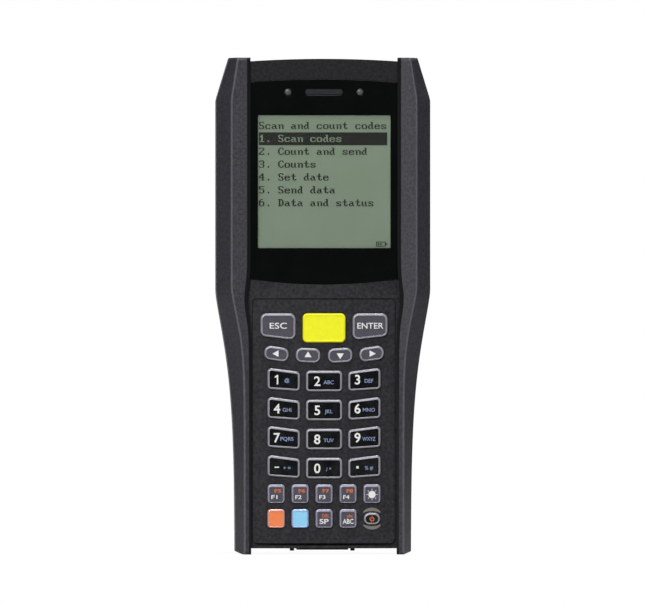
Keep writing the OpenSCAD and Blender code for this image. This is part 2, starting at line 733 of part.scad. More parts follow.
module battery_lock() {
    color("#2a2a2d") {
        block([-lock_w / 2, cover_y, lock_z], [lock_w / 2, grip_y - 0.1, lock_z + lock_h]);
        block([-lock_w / 2 - lock_flange, cover_y, lock_z],
            [lock_w / 2 + lock_flange, cover_y + 0.8, lock_z + lock_h]);
        block([-tongue_w / 2, cover_y + 0.5, lock_z + lock_h - 0.1],
            [tongue_w / 2, cover_y + 0.5 + tongue_t, lock_z + lock_h + tongue_l]);
    }
}

// ---- scanner and motor ----

module scan_chassis() {
    y0 = mirror_y - 5;
    color("#a7a9ad") difference() {
        union() {
            block([-chassis_w / 2, y0, mirror_z - 8], [chassis_w / 2, chassis_y, mirror_z + 9]);
            rod_y(0, mirror_z, mirror_pin_d / 2, y0 + 0.5, chassis_y - 0.5);
            // brackets down to the board
            both_sides() block([chassis_w / 2 - 3, main_board_y + main_board_t, mirror_z - 8],
                [chassis_w / 2, y0 + 1, mirror_z - 4]);
        }
        difference() {
            block([-7, y0 + 1.6, mirror_z - 6], [chassis_w / 2 - 1.6, chassis_y - 1.6, mirror_z + 10]);
            rod_y(0, mirror_z, mirror_pin_d / 2, y0, chassis_y);
        }
        rod_x(mirror_y + 1, mirror_z, 2.2, -chassis_w / 2 - 1, 0);
        block([-chassis_w / 2 + 1, mirror_y + 4.5, mirror_z + 3.5], [-7.5, chassis_y - 1.5, mirror_z + 10]);
    }
}

module laser_module() {
    color("#b08d4a") difference() {
        rod_x(mirror_y + 1, mirror_z, 2.2, -chassis_w / 2, -5.6);
        rod_x(mirror_y + 1, mirror_z, 1.2, -6.6, -5);
    }
}

module scan_mirror() {
    color("#c9d3da") translate([0, mirror_y + 0.6, mirror_z]) difference() {
        union() {
            rod_y(0, 0, 1.7, -mirror_hub_l / 2, mirror_hub_l / 2);
            rotate([0, 45, 0]) block([-4.2, 0.4 - mirror_hub_l / 2, 0.9], [4.2, mirror_hub_l / 2 - 0.4, 2.1]);
        }
        rod_y(0, 0, mirror_pin_d / 2 + shaft_gap, -mirror_hub_l, mirror_hub_l);
    }
}

module vibration_motor() {
    color("#b9bcc0") {
        rod_x(motor_y, motor_z, motor_d / 2, -motor_l / 2, motor_l / 2);
        rod_x(motor_y, motor_z, motor_shaft_d / 2, motor_l / 2 - 0.5, motor_l / 2 + weight_l + 1.2);
    }
}

module eccentric_weight() {
    x0 = motor_l / 2 + 0.6;
    color("#7f8286") difference() {
        union() {
            rod_x(motor_y, motor_z, 0.95, x0, x0 + weight_l);
            intersection() {
                rod_x(motor_y, motor_z, motor_d / 2 - 0.3, x0, x0 + weight_l);
                block([x0, motor_y - 5, motor_z - 5], [x0 + weight_l, motor_y + 5, motor_z]);
            }
        }
        rod_x(motor_y, motor_z, motor_shaft_d / 2 + shaft_gap, x0 - 1, x0 + weight_l + 1);
    }
}

front_housing();
rear_housing();
left_rail();
right_rail();
top_cap();
scan_window();
display_lens();
lcd_panel();
lcd_frame();
speaker_grille();
speaker();
status_lamp();
charge_lamp();
keypad_mat();
key_board();
main_board();
battery_pack();
battery_contacts();
dock_connector();
dock_contacts();
case_seal();
case_screws();
scan_chassis();
laser_module();
scan_mirror();
vibration_motor();
eccentric_weight();
battery_cover();
battery_lock();

function key_colour(name) = let (m = [for (c = key_colours) if (c[0] == name) c[1]])
    len(m) > 0 ? m[0] : "#55565f";
for (k = keys) color(key_colour(k[0])) key(k);
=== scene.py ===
"""Looks of a portable data terminal: a hand-held casing between two side rails, with a square
screen, a crowned keypad and a scan window in its top end. Lengths are millimetres in the frame's
axes and become metres where a mesh is made."""
import json
import math

import bmesh
import bpy
from mathutils import Matrix, Vector
from mathutils.geometry import convex_hull_2d


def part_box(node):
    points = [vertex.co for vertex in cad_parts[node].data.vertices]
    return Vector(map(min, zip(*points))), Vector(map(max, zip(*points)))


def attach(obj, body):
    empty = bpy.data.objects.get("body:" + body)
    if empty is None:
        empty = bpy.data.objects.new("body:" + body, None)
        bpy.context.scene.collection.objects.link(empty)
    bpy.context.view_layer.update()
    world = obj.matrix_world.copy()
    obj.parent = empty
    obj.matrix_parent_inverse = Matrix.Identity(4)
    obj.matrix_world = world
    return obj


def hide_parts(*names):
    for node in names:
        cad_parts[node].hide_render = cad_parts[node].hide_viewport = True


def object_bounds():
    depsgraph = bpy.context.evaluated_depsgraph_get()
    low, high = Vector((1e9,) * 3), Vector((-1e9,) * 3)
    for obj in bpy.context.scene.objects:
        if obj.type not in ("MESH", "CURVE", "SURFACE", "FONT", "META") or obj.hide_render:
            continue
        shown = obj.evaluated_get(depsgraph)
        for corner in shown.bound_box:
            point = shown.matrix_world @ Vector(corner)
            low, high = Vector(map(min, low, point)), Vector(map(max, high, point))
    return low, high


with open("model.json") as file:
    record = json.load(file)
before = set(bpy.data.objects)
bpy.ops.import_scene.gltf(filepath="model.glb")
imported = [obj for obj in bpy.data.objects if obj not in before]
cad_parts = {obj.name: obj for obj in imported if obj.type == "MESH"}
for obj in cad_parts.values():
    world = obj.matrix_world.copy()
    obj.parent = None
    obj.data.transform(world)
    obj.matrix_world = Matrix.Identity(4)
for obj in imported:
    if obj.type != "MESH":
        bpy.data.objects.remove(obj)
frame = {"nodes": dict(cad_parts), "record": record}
cad_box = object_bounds()

MM = 0.001


def span(node):
    """Lowest and highest corner of a CAD node, in millimetres."""
    return [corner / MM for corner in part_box(node)]


# ---- sizes ----

BOX_LO, BOX_HI = (corner / MM for corner in cad_box)
BODY_L = BOX_HI.z                     # rails' feet to their tops
HEAD_W = 2 * BOX_HI.x                 # across the rails at the head
FRONT_Y = BOX_LO.y                    # rails' front faces
BACK_Y = BOX_HI.y
FOOT_W = 60.1                         # across the rails at the grip
GRIP_Y = 10                           # back of the grip
RAIL_HEAD_W, RAIL_FOOT_W = 10.26, 4.35    # a rail seen from the front
FACET_HEAD_W, FACET_FOOT_W = 4.85, 2.7    # its slanted outer facet, seen likewise
FACET_DEPTH = 8                       # and from front to back
RAIL_BACK = 6                         # plane where the rails end on the rear shell
SHOULDER_L, SHOULDER_ANGLE = 14.3, math.radians(17)    # the rails lean in at the top
SHOULDER_Z = BODY_L - SHOULDER_L
WAIST_Z = BODY_L - 79.7               # where the head's full width ends
FOOT_CHAMFER = 1
LIP_HEAD_W, LIP_FOOT_W = 1.25, 0.8    # rails' inner lips, leaning over the lens and the keypad; dark, as painted shade
BASE_Z = 2.1                          # shell's base over the feet
CAP_Z = BODY_L - 8.6                  # lower face of the end cap
CAP_TOP = BODY_L - 0.4
CAP_ARCH = 0.93                       # rise of the end cap's arched top
SPLIT_Y = -3                          # plane between the two shells
CORNER_X = 9                          # width of the rounded corners along the back
CROWN_R = 200                         # the keypad's face is crowned across its width
FRONT_FACE_Y, FIELD_Y = -16.4, -16.8  # its middle line on the shell and on the key field
FIELD_W, FIELD_LOW, FIELD_TOP = 48.6, BASE_Z + 1.8, 87.3
REAR_EDGE = 0.9                       # straight flank behind the rails, before the corners
REAR_WALL = 2.2
NOSE_DROP = 4                         # how far the back leans in towards the top
WALL = 2
FIT_GAP = 0.15                        # clearance between fitted pieces

LENS_LO, LENS_HI = span("display_lens")
LENS_Y, SEAT_Y = LENS_LO.y, LENS_HI.y
LENS_LOW_BOW, LENS_TOP_BOW = 2.1, 1.2    # how far the lens' edges bow out at the middle
LENS_LOW, LENS_TOP = LENS_LO.z + LENS_LOW_BOW, LENS_HI.z - LENS_TOP_BOW
SCREEN_W, SCREEN_H = 45.6, 45.4
SCREEN_Z = LENS_LOW + 10.3            # lower edge of the screen
EDGE_SHADOW_W = 1.2                    # width of the painted shadow along the screen's left edge
GRILLE_LO, GRILLE_HI = span("speaker_grille")
SLOT_Z = (GRILLE_LO.z + GRILLE_HI.z) / 2

COVER_LO, COVER_HI = span("battery_cover")
PACK_LO, PACK_HI = span("battery_pack")
LOCK_LO, LOCK_HI = span("battery_lock")
WINDOW_LO, WINDOW_HI = span("scan_window")
SCREW_BACK_Y = span("case_screws")[1].y


def fall(z, z0, length, steep):
    """1 above z0, falling smoothly towards 0 below it."""
    return 1 if z >= z0 else math.exp(-(((z0 - z) / length) ** steep))


def over(z, z0):
    return max(0, z - z0)


def around(x, z, radius, degrees):
    """Point on a circle about a centre."""
    turn = math.radians(degrees)
    return x + radius * math.cos(turn), z + radius * math.sin(turn)


def outer_x(z):
    """Half width over the rails at a height."""
    swell = (HEAD_W - FOOT_W) / 2 * fall(z, WAIST_Z, 27.1, 1.35)
    taper = over(z, SHOULDER_Z) * math.tan(SHOULDER_ANGLE)
    return FOOT_W / 2 + swell - taper - max(0, FOOT_CHAMFER - z) * 2.2


def ridge_x(z):
    """Where a rail's front facet meets its slanted outer one."""
    swell = ((HEAD_W - FOOT_W) / 2 - FACET_HEAD_W + FACET_FOOT_W) * fall(z, WAIST_Z + 1.7, 16.1, 1.6)
    taper = over(z, SHOULDER_Z) * math.tan(SHOULDER_ANGLE) / 2
    return min(outer_x(z) - 0.6, FOOT_W / 2 - FACET_FOOT_W + swell - taper)


def inner_x(z):
    """A rail's inner wall."""
    swell = ((HEAD_W - FOOT_W) / 2 - RAIL_HEAD_W + RAIL_FOOT_W) * fall(z, WAIST_Z, 14, 1.6)
    return FOOT_W / 2 - RAIL_FOOT_W + swell + math.exp(-(((z - WAIST_Z + 3.5) / 7) ** 2))


def rear_x(z):
    """Half width of the shell behind the rails."""
    return outer_x(z) - 0.6 - max(0, BASE_Z + 0.8 - z)


def rail_y(z):
    """A rail's front face."""
    return FRONT_Y + 0.7 * (1 - fall(z, WAIST_Z, 27.1, 1.35)) + over(z, BODY_L - 0.8) + max(0, 1 - z) * 0.6


def rear_y(z):
    """The back of the rear shell."""
    lean = NOSE_DROP * (over(z, SHOULDER_Z - 2) / (SHOULDER_L + 1)) ** 1.6
    return GRIP_Y + (BACK_Y - GRIP_Y) * fall(z, WAIST_Z + 22, 15, 2.2) - lean - max(0, BASE_Z + 0.8 - z)


# ---- finishes ----

def linear(hex_colour):
    """An sRGB hex colour as linear red, green, blue and alpha."""
    parts = [int(hex_colour[i:i + 2], 16) / 255 for i in (1, 3, 5)]
    return [c / 12.92 if c <= 0.04045 else ((c + 0.055) / 1.055) ** 2.4 for c in parts] + [1]


def add(tree, kind, inputs=None, **settings):
    """Adds a node with its settings. An input that is a socket is linked, any other is set."""
    node = tree.nodes.new(kind)
    for name, value in settings.items():
        setattr(node, name, value)
    for socket, value in (inputs or {}).items():
        if isinstance(value, bpy.types.NodeSocket):
            tree.links.new(value, node.inputs[socket])
        else:
            node.inputs[socket].default_value = value
    return node


def new_surface(name):
    """A bare material, its node tree and its Object coordinates."""
    material = bpy.data.materials.new(name)
    material.use_nodes = True
    material.node_tree.nodes.clear()
    place = add(material.node_tree, "ShaderNodeTexCoord").outputs["Object"]
    return material, material.node_tree, place


MIX_FACTOR, MIX_A, MIX_B, MIX_OUT = 0, 6, 7, 2   # a colour Mix node's sockets


def shade(hex_colour, factor):
    """The colour, lighter or darker by a factor."""
    return [min(1, c * factor) for c in linear(hex_colour)[:3]] + [1]


def moulded(name, colour, roughness, grain, depth, drift=0.08, specular=0.3, **sockets):
    """Moulded or painted face: a grain of that size in relief, with a mottle of shade and gloss."""
    material, tree, place = new_surface(name)
    fine = add(tree, "ShaderNodeTexNoise", {"Vector": place, "Scale": 1 / (grain * MM), "Detail": 3})
    slow = add(tree, "ShaderNodeTexNoise", {"Vector": place, "Scale": 1 / (2 * grain * MM), "Detail": 2})
    mottle = add(tree, "ShaderNodeMapRange", {"Value": slow.outputs["Fac"], "From Min": 0.3, "From Max": 0.7})
    tone = add(tree, "ShaderNodeMix", {MIX_FACTOR: mottle.outputs["Result"], MIX_A: shade(colour, 1 - drift),
               MIX_B: shade(colour, 1 + drift)}, data_type="RGBA")
    speck = add(tree, "ShaderNodeMapRange", {"Value": fine.outputs["Fac"], "From Min": 0.3,
                "From Max": 0.7, "To Min": roughness - 0.06, "To Max": roughness + 0.06})
    relief = add(tree, "ShaderNodeBump", {"Height": fine.outputs["Fac"], "Distance": depth * MM})
    named = {socket.replace("_", " "): value for socket, value in sockets.items()}
    shader = add(tree, "ShaderNodeBsdfPrincipled", {"Base Color": tone.outputs[MIX_OUT],
                 "Roughness": speck.outputs["Result"], "Normal": relief.outputs["Normal"],
                 "Specular IOR Level": specular, **named})
    add(tree, "ShaderNodeOutputMaterial", {"Surface": shader.outputs[0]})
    return material


def metal(name, colour, roughness, stroke):
    """Plated, cast or turned metal: fine marks, whose size along X, Y and Z is the stroke."""
    material, tree, place = new_surface(name)
    along = add(tree, "ShaderNodeMapping", {"Vector": place, "Scale": [1 / (s * MM) for s in stroke]})
    marks = add(tree, "ShaderNodeTexNoise", {"Vector": along.outputs[0], "Scale": 1, "Detail": 2})
    tone = add(tree, "ShaderNodeMix", {MIX_FACTOR: marks.outputs["Fac"], MIX_A: shade(colour, 0.86),
               MIX_B: shade(colour, 1.1)}, data_type="RGBA")
    gloss = add(tree, "ShaderNodeMapRange", {"Value": marks.outputs["Fac"], "To Min": roughness - 0.08,
                "To Max": roughness + 0.08})
    relief = add(tree, "ShaderNodeBump", {"Height": marks.outputs["Fac"], "Distance": 0.004 * MM})
    shader = add(tree, "ShaderNodeBsdfPrincipled", {"Base Color": tone.outputs[MIX_OUT], "Metallic": 1,
                 "Roughness": gloss.outputs["Result"], "Normal": relief.outputs["Normal"]})
    add(tree, "ShaderNodeOutputMaterial", {"Surface": shader.outputs[0]})
    return material


def clear(name, colour, roughness, alpha):
    """Clear sheet with a faint gloss and wipe marks; its alpha is how much it hides of what lies behind."""
    material, tree, place = new_surface(name)
    wipe = add(tree, "ShaderNodeTexNoise", {"Vector": place, "Scale": 1 / (14 * MM), "Detail": 4})
    gloss = add(tree, "ShaderNodeMapRange", {"Value": wipe.outputs["Fac"], "To Min": roughness,
                "To Max": roughness + 0.05})
    shader = add(tree, "ShaderNodeBsdfPrincipled", {"Base Color": linear(colour), "Alpha": alpha,
                 "Roughness": gloss.outputs["Result"]})
    add(tree, "ShaderNodeOutputMaterial", {"Surface": shader.outputs[0]})
    return material


def liquid_crystal():
    """Reflective liquid crystal: a slightly cloudy grey-green, paler upwards, with a painted shadow along its
    left edge.
    """
    material, tree, place = new_surface("reflective_liquid_crystal")
    apart = add(tree, "ShaderNodeSeparateXYZ", {"Vector": place})
    left_shadow_reach = add(tree, "ShaderNodeMapRange", {"Value": apart.outputs["X"],
                    "From Min": -SCREEN_W / 2 * MM, "From Max": (-SCREEN_W / 2 + EDGE_SHADOW_W) * MM})
    near_top = add(tree, "ShaderNodeMapRange", {"Value": apart.outputs["Z"],
                   "From Min": SCREEN_Z * MM, "From Max": (SCREEN_Z + SCREEN_H) * MM})
    cloud = add(tree, "ShaderNodeTexNoise", {"Vector": place, "Scale": 1 / (12 * MM), "Detail": 3})
    height = add(tree, "ShaderNodeMix", {MIX_FACTOR: near_top.outputs["Result"], MIX_A: linear("#8b9d85"),
                 MIX_B: linear("#97ab90")}, data_type="RGBA")
    # Painted shadow: a darker grey-green along the left edge, where the lens' edge would shade the screen.
    side = add(tree, "ShaderNodeMix", {MIX_FACTOR: left_shadow_reach.outputs["Result"], MIX_A: linear("#5a6653"),
               MIX_B: height.outputs[MIX_OUT]}, data_type="RGBA")
    tone = add(tree, "ShaderNodeMix", {MIX_FACTOR: cloud.outputs["Fac"], MIX_A: side.outputs[MIX_OUT],
               MIX_B: linear("#9aab97")}, data_type="RGBA")
    shader = add(tree, "ShaderNodeBsdfPrincipled", {"Base Color": tone.outputs[MIX_OUT], "Roughness": 0.4,
                 "Specular IOR Level": 0.2})
    add(tree, "ShaderNodeOutputMaterial", {"Surface": shader.outputs[0]})
    return material


def circuit_board():
    """Fibreglass board under green solder mask: straight copper tracks show through as a paler green."""
    material, tree, place = new_surface("green_solder_mask")
    tracks = add(tree, "ShaderNodeTexBrick", {"Vector": place, "Scale": 1 / (3 * MM), "Mortar Size": 0.03,
                 "Color1": linear("#1d6b45"), "Color2": linear("#1b6340"), "Mortar": linear("#2f8f60")})
    relief = add(tree, "ShaderNodeBump", {"Height": tracks.outputs["Fac"], "Distance": 0.03 * MM})
    shader = add(tree, "ShaderNodeBsdfPrincipled", {"Base Color": tracks.outputs["Color"],
                 "Roughness": 0.35, "Normal": relief.outputs["Normal"]})
    add(tree, "ShaderNodeOutputMaterial", {"Surface": shader.outputs[0]})
    return material


# Polycarbonate of the two shells: charcoal, its spark-eroded mould leaves a fine matt grain.
CASING = moulded("spark_eroded_polycarbonate", "#29282c", 0.56, 0.5, 0.05, drift=0.45, specular=0.15)
# The same plastic on the rails, painted satin: paler, so their facets and ridges catch light.
RAIL = moulded("satin_painted_rail", "#3b3a40", 0.42, 0.4, 0.02, drift=0.3, specular=0.2)
# The same satin paint, paler along the ridge between a rail's two facets: a painted highlight where the
# rounded ridge would catch the light.
RIDGE_HIGHLIGHT = moulded("rail_ridge_painted_highlight", "#5b5a61", 0.36, 0.4, 0.01, drift=0.15, specular=0.4)
# The end cap is moulded a shade darker than the shells.
CAP_PLASTIC = moulded("end_cap_polycarbonate", "#1f1e22", 0.56, 0.5, 0.05, drift=0.4, specular=0.12)
# Near black on the rails' inner lips: painted shade, standing in for the shadow gap between the rails and the
# lens and keypad.
LIP_SHADE = moulded("rail_lip_painted_shade", "#151517", 0.6, 0.4, 0.02, specular=0.15)
# Acrylic sheet printed black behind: deep gloss with almost no colour of its own.
LENS_BLACK = moulded("black_backed_acrylic", "#0a0d0c", 0.07, 6, 0.002, specular=0.12)
# The unprinted window in the same sheet.
LENS_CLEAR = clear("clear_acrylic_window", "#0c0f0e", 0.05, 0.12)
# The screen's unswitched ground.
SCREEN = liquid_crystal()
# Darkened cells of the screen.
SCREEN_DARK = moulded("switched_liquid_crystal", "#232520", 0.45, 2, 0.001)
# Silver paint on the keys' rolled rims: bright satin bands.
KEY_SILVER = moulded("satin_silver_paint", "#96949d", 0.32, 0.6, 0.004, specular=0.5, Metallic=0.25)
# The same paint under the cooler lacquer of the small keys.
KEY_COOL = moulded("cool_silver_paint", "#9290a2", 0.32, 0.6, 0.004, specular=0.5, Metallic=0.25)
# Gloss black tops of the digit keys.
KEY_BLACK = moulded("gloss_black_key", "#0d0e10", 0.16, 3, 0.004, specular=0.5)
# Slate tops of the control keys, a shade purple.
KEY_SLATE = moulded("slate_key", "#4b4a54", 0.38, 0.6, 0.01, specular=0.2)
# The three coloured keys are dyed through: flat, strong colour with little gloss.
KEY_YELLOW = moulded("yellow_key", "#eeed10", 0.42, 0.8, 0.01, drift=0.03)
KEY_ORANGE = moulded("orange_key", "#ee8350", 0.3, 0.8, 0.006, drift=0.04)
KEY_BLUE = moulded("pale_blue_key", "#8fd0f2", 0.3, 0.8, 0.006, drift=0.04)
# Silver seen through coloured lacquer, on the rims of the orange and blue keys.
RIM_ORANGE = moulded("orange_tinted_silver", "#dca49a", 0.3, 0.6, 0.004, Metallic=0.4)
RIM_BLUE = moulded("blue_tinted_silver", "#9fb4dc", 0.3, 0.6, 0.004, Metallic=0.4)
# Pad-printed inks: a little raised and satin.
INK_WHITE = moulded("white_pad_print", "#e4e3e2", 0.5, 0.3, 0.004, drift=0.04)
INK_BLUE = moulded("pale_blue_pad_print", "#8694bb", 0.5, 0.3, 0.004, drift=0.04)
INK_ORANGE = moulded("orange_pad_print", "#c9683c", 0.5, 0.3, 0.004, drift=0.04)
INK_GREY = moulded("grey_pad_print", "#7d7670", 0.5, 0.3, 0.004, drift=0.04)
# Translucent light pipe over an unlit indicator.
LAMP = moulded("frosted_light_pipe", "#4b504f", 0.3, 0.5, 0.004, specular=0.4)
# Woven steel cloth across the speaker.
WIRE = metal("woven_steel_cloth", "#6c7072", 0.4, (0.3, 0.3, 0.3))
# Zinc plate on the screws, the motor and its weight: cool grey, a little cloudy.
STEEL = metal("zinc_plated_steel", "#9a9ca0", 0.32, (0.4, 4, 0.4))
# Contacts: thin gold over bronze, warm and bright.
GOLD = metal("gold_plated_bronze", "#d8b056", 0.25, (0.2, 2, 0.2))
# Scanner's chassis: dull cast skin, evenly mottled.
CAST = metal("die_cast_aluminium", "#a9abaf", 0.45, (0.6, 0.6, 0.6))
# Laser barrel: warm yellow with fine turning marks.
BRASS = metal("turned_brass", "#b8944c", 0.3, (0.1, 2, 2))
# Front-silvered glass: near white and sharp.
MIRROR = metal("silvered_mirror", "#dfe6ea", 0.1, (3, 3, 3))
BOARD = circuit_board()
# Red acrylic of the scan window: a deep glossy red.
WINDOW = moulded("red_acrylic_window", "#4a0b10", 0.08, 5, 0.002, specular=0.5)
# Key mat: soft matt grey.
SILICONE = moulded("grey_silicone", "#5c5f63", 0.6, 0.4, 0.02)
# Case seal: dead black.
RUBBER = moulded("black_seal_rubber", "#1c1c1e", 0.7, 0.3, 0.02)
# Film shrunk round the battery cells: dark, glossy and slightly wavy.
SLEEVE = moulded("battery_shrink_sleeve", "#2f3236", 0.3, 1.5, 0.03)
# Frame that spreads the backlight: plain matt white.
WHITE_PLASTIC = moulded("white_diffuser", "#d8dad6", 0.5, 0.4, 0.01)
# Nylon of the small mouldings: near black, faintly grained.
BLACK_PLASTIC = moulded("black_nylon", "#1f2023", 0.5, 0.3, 0.02)

SLOT_FINISH = {
    "housing_plastic": CASING, "rail_plastic": RAIL, "lens": LENS_BLACK, "screen": SCREEN,
    "white_plastic": WHITE_PLASTIC, "black_plastic": BLACK_PLASTIC, "grille": WIRE, "lamp": LAMP,
    "silicone": SILICONE, "board": BOARD, "battery": SLEEVE, "gold": GOLD, "seal": RUBBER,
    "steel": STEEL, "chassis": CAST, "brass": BRASS, "mirror": MIRROR, "window": WINDOW,
    "key_dark": KEY_BLACK, "key_grey": KEY_SLATE, "key_yellow": KEY_YELLOW,
    "key_orange": KEY_ORANGE, "key_blue": KEY_BLUE}
NODE_SLOT = {part["node"]: part["material_slot"] for part in frame["record"]["subparts"]}


def finish_nodes():
    """Every CAD node gets the finish of its material slot."""
    for name, thing in frame["nodes"].items():
        if not thing.material_slots:
            thing.data.materials.append(None)
        for place in thing.material_slots:
            place.material = SLOT_FINISH[NODE_SLOT[name]]


# ---- mesh making ----


def add_object(name, data, *materials):
    """Object in the scene with its materials."""
    thing = bpy.data.objects.new(name, data)
    bpy.context.scene.collection.objects.link(thing)
    for material in materials:
        data.materials.append(material)
    return thing


def from_bmesh(name, bm, *materials):
    """Object from a bmesh, its doubles merged."""
    bmesh.ops.remove_doubles(bm, verts=bm.verts, dist=1e-7)
    mesh = bpy.data.meshes.new(name)
    bm.to_mesh(mesh)
    bm.free()
    return add_object(name, mesh, *materials)


def settle(thing):
    """Turns an object's modifiers into its plain mesh."""
    graph = bpy.context.evaluated_depsgraph_get()
    mesh = bpy.data.meshes.new_from_object(thing.evaluated_get(graph), depsgraph=graph)
    thing.modifiers.clear()
    thing.data = mesh
    return thing


def soften(thing, width, angle=35, segments=3):
    """Rounds edges sharper than an angle and evens the shading of the flats beside them."""
    bevel = thing.modifiers.new("rounded_edges", "BEVEL")
    bevel.width = width * MM
    bevel.segments = segments
    bevel.angle_limit = math.radians(angle)
    bevel.harden_normals = True
    for polygon in thing.data.polygons:
        polygon.use_smooth = True
    thing.modifiers.new("even_flats", "WEIGHTED_NORMAL").keep_sharp = True
    return settle(thing)


def carve(thing, cutter, operation="DIFFERENCE"):
    """Cuts one object by another, which is used up."""
    step = thing.modifiers.new("carve", "BOOLEAN")
    step.operation = operation
    step.solver = "EXACT"
    step.object = cutter
    settle(thing)
    bpy.data.objects.remove(cutter)
    return thing


def seat(thing, body, slot, *nodes):
    """The piece rides on a body and stands for CAD nodes, which are hidden; slot is not used."""
    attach(thing, body)
    if nodes:
        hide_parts(*nodes)
    return thing


def loft(bm, rings, slot_of=lambda row, side: 0):
    """Closed solid skinned over rings of points, with flat ends. slot_of names a face's material slot."""
    rows = [[bm.verts.new(Vector(point) * MM) for point in ring] for ring in rings]
    faces = []
    for row, end in ((0, rows[0][::-1]), (len(rows), rows[-1])):
        faces.append(bm.faces.new(end))
        faces[-1].material_index = slot_of(row, 0)
    for row, (low, high) in enumerate(zip(rows, rows[1:]), 1):
        for i in range(len(low)):
            j = (i + 1) % len(low)
            faces.append(bm.faces.new((low[i], low[j], high[j], high[i])))
            faces[-1].material_index = slot_of(row, i)
            faces[-1].smooth = True
    for face in faces:
        face.normal_update()
    if sum(face.calc_area() * face.normal.dot(face.calc_center_median()) for face in faces) < 0:
        bmesh.ops.reverse_faces(bm, faces=faces)


def plate(bm, outline, y0, y1, slot=0):
    """Prism over an outline in X and Z, between two planes."""
    loft(bm, [[(x, y, z) for x, z in outline] for y in (y0, y1)], lambda row, side: slot)


def block(bm, low, high):
    """Box between two corners."""
    rows = [[(low[0], low[1], z), (high[0], low[1], z), (high[0], high[1], z), (low[0], high[1], z)]
            for z in (low[2], high[2])]
    loft(bm, rows)


def rod(bm, axis, at, radius, start, end, steps=48):
    """Cylinder along axis 0, 1 or 2; at is its place on the two other axes, in their order."""
    rings = []
    for along in (start, end):
        ring = []
        for k in range(steps):
            turn = 2 * math.pi * k / steps
            point = [at[0] + radius * math.cos(turn), at[1] + radius * math.sin(turn)]
            point.insert(axis, along)
            ring.append(point)
        rings.append(ring)
    loft(bm, rings)


def turned(bm, x, z, profile, step):
    """Solid turned about an axis along Y; the profile is its radii and their places along the axis."""
    rings = []
    for radius, y in profile:
        circle = [around(x, z, radius, degrees) for degrees in range(0, 360, step)]
        rings.append([(across, y, up) for across, up in circle])
    loft(bm, rings)


def tool(build, *sizes):
    """An object to carve with, made by one of the functions above."""
    bm = bmesh.new()
    build(bm, *sizes)
    return from_bmesh("tool", bm)


def rounded(corners, radii, steps=5):
    """Outline with its corners replaced by arcs; radii is one number or one for each corner."""
    if isinstance(radii, (int, float)):
        radii = [radii] * len(corners)
    outline = []
    for i, radius in enumerate(radii):
        here, before, after = (Vector(corners[(i + k) % len(corners)]) for k in (0, -1, 1))
        back, on = (before - here).normalized(), (after - here).normalized()
        half = back.angle(on) / 2
        centre = here + (back + on).normalized() * radius / math.sin(half)
        start, end = (here + d * radius / math.tan(half) - centre for d in (back, on))
        sweep = math.pi - 2 * half
        for k in range(steps + 1):
            t = k / steps
            arc = (start * math.sin((1 - t) * sweep) + end * math.sin(t * sweep)) / math.sin(sweep)
            outline.append(tuple(centre + arc))
    return outline


def rectangle(x0, z0, x1, z1):
    """Outline of a rectangle, anticlockwise."""
    return [(x0, z0), (x1, z0), (x1, z1), (x0, z1)]


def inset(outline, distance):
    """A convex anticlockwise outline moved inwards."""
    moved = []
    for i in range(len(outline)):
        here, before, after = (Vector(outline[(i + k) % len(outline)]) for k in (0, -1, 1))
        into, out = (here - before).normalized(), (after - here).normalized()
        side = Vector((-into.y, into.x))
        bisector = (side + Vector((-out.y, out.x))).normalized()
        moved.append(tuple(here + bisector * distance / max(0.3, bisector.dot(side))))
    return moved


def heights(z0, z1, step):
    """Even heights from z0 to z1, no further apart than a step."""
    count = math.ceil((z1 - z0) / step)
    return [z0 + (z1 - z0) * k / count for k in range(count + 1)]


def node_copy(node):
    """A CAD node's mesh with its loose triangles merged into flat faces."""
    bm = bmesh.new()
    bm.from_mesh(frame["nodes"][node].data)
    bmesh.ops.remove_doubles(bm, verts=bm.verts, dist=2e-6)
    bmesh.ops.dissolve_limit(bm, angle_limit=math.radians(0.2), verts=bm.verts, edges=bm.edges)
    return bm


# ---- repeats, by Geometry Nodes ----


def geometry_tree(name, **inputs):
    """Geometry Nodes tree and its group input, with an input of each given name and socket type."""
    tree = bpy.data.node_groups.new(name, "GeometryNodeTree")
    for way in ("INPUT", "OUTPUT"):
        tree.interface.new_socket("Geometry", in_out=way, socket_type="NodeSocketGeometry")
    for label, kind in inputs.items():
        tree.interface.new_socket(label, in_out="INPUT", socket_type=kind)
    return tree, add(tree, "NodeGroupInput").outputs


def end_tree(tree, geometry, finish):
    """Every tree ends in real faces with their material."""
    real = add(tree, "GeometryNodeRealizeInstances", {"Geometry": geometry})
    coated = add(tree, "GeometryNodeSetMaterial", {"Geometry": real.outputs[0], "Material": finish})
    add(tree, "NodeGroupOutput", {"Geometry": coated.outputs[0]})
    return tree


def grow(name, tree, base, material, **values):
    """Runs a tree on a base mesh and keeps the result as a plain mesh with one material."""
    thing = add_object(name, base)
    step = thing.modifiers.new("repeat", "NODES")
    step.node_group = tree
    for socket in tree.interface.items_tree:
        if socket.in_out == "INPUT" and socket.name in values:
            step[socket.identifier] = values[socket.name]
        if socket.in_out == "INPUT" and socket.name == "Finish":
            step[socket.identifier] = material
    settle(thing)
    thing.data.name = name
    thing.data.materials.clear()
    thing.data.materials.append(material)
    for polygon in thing.data.polygons:
        polygon.material_index = 0
    return thing


def point_mesh(points):
    """Loose points for a tree to work on."""
    mesh = bpy.data.meshes.new("points")
    mesh.from_pydata([Vector(p) * MM for p in points], [], [])
    return mesh


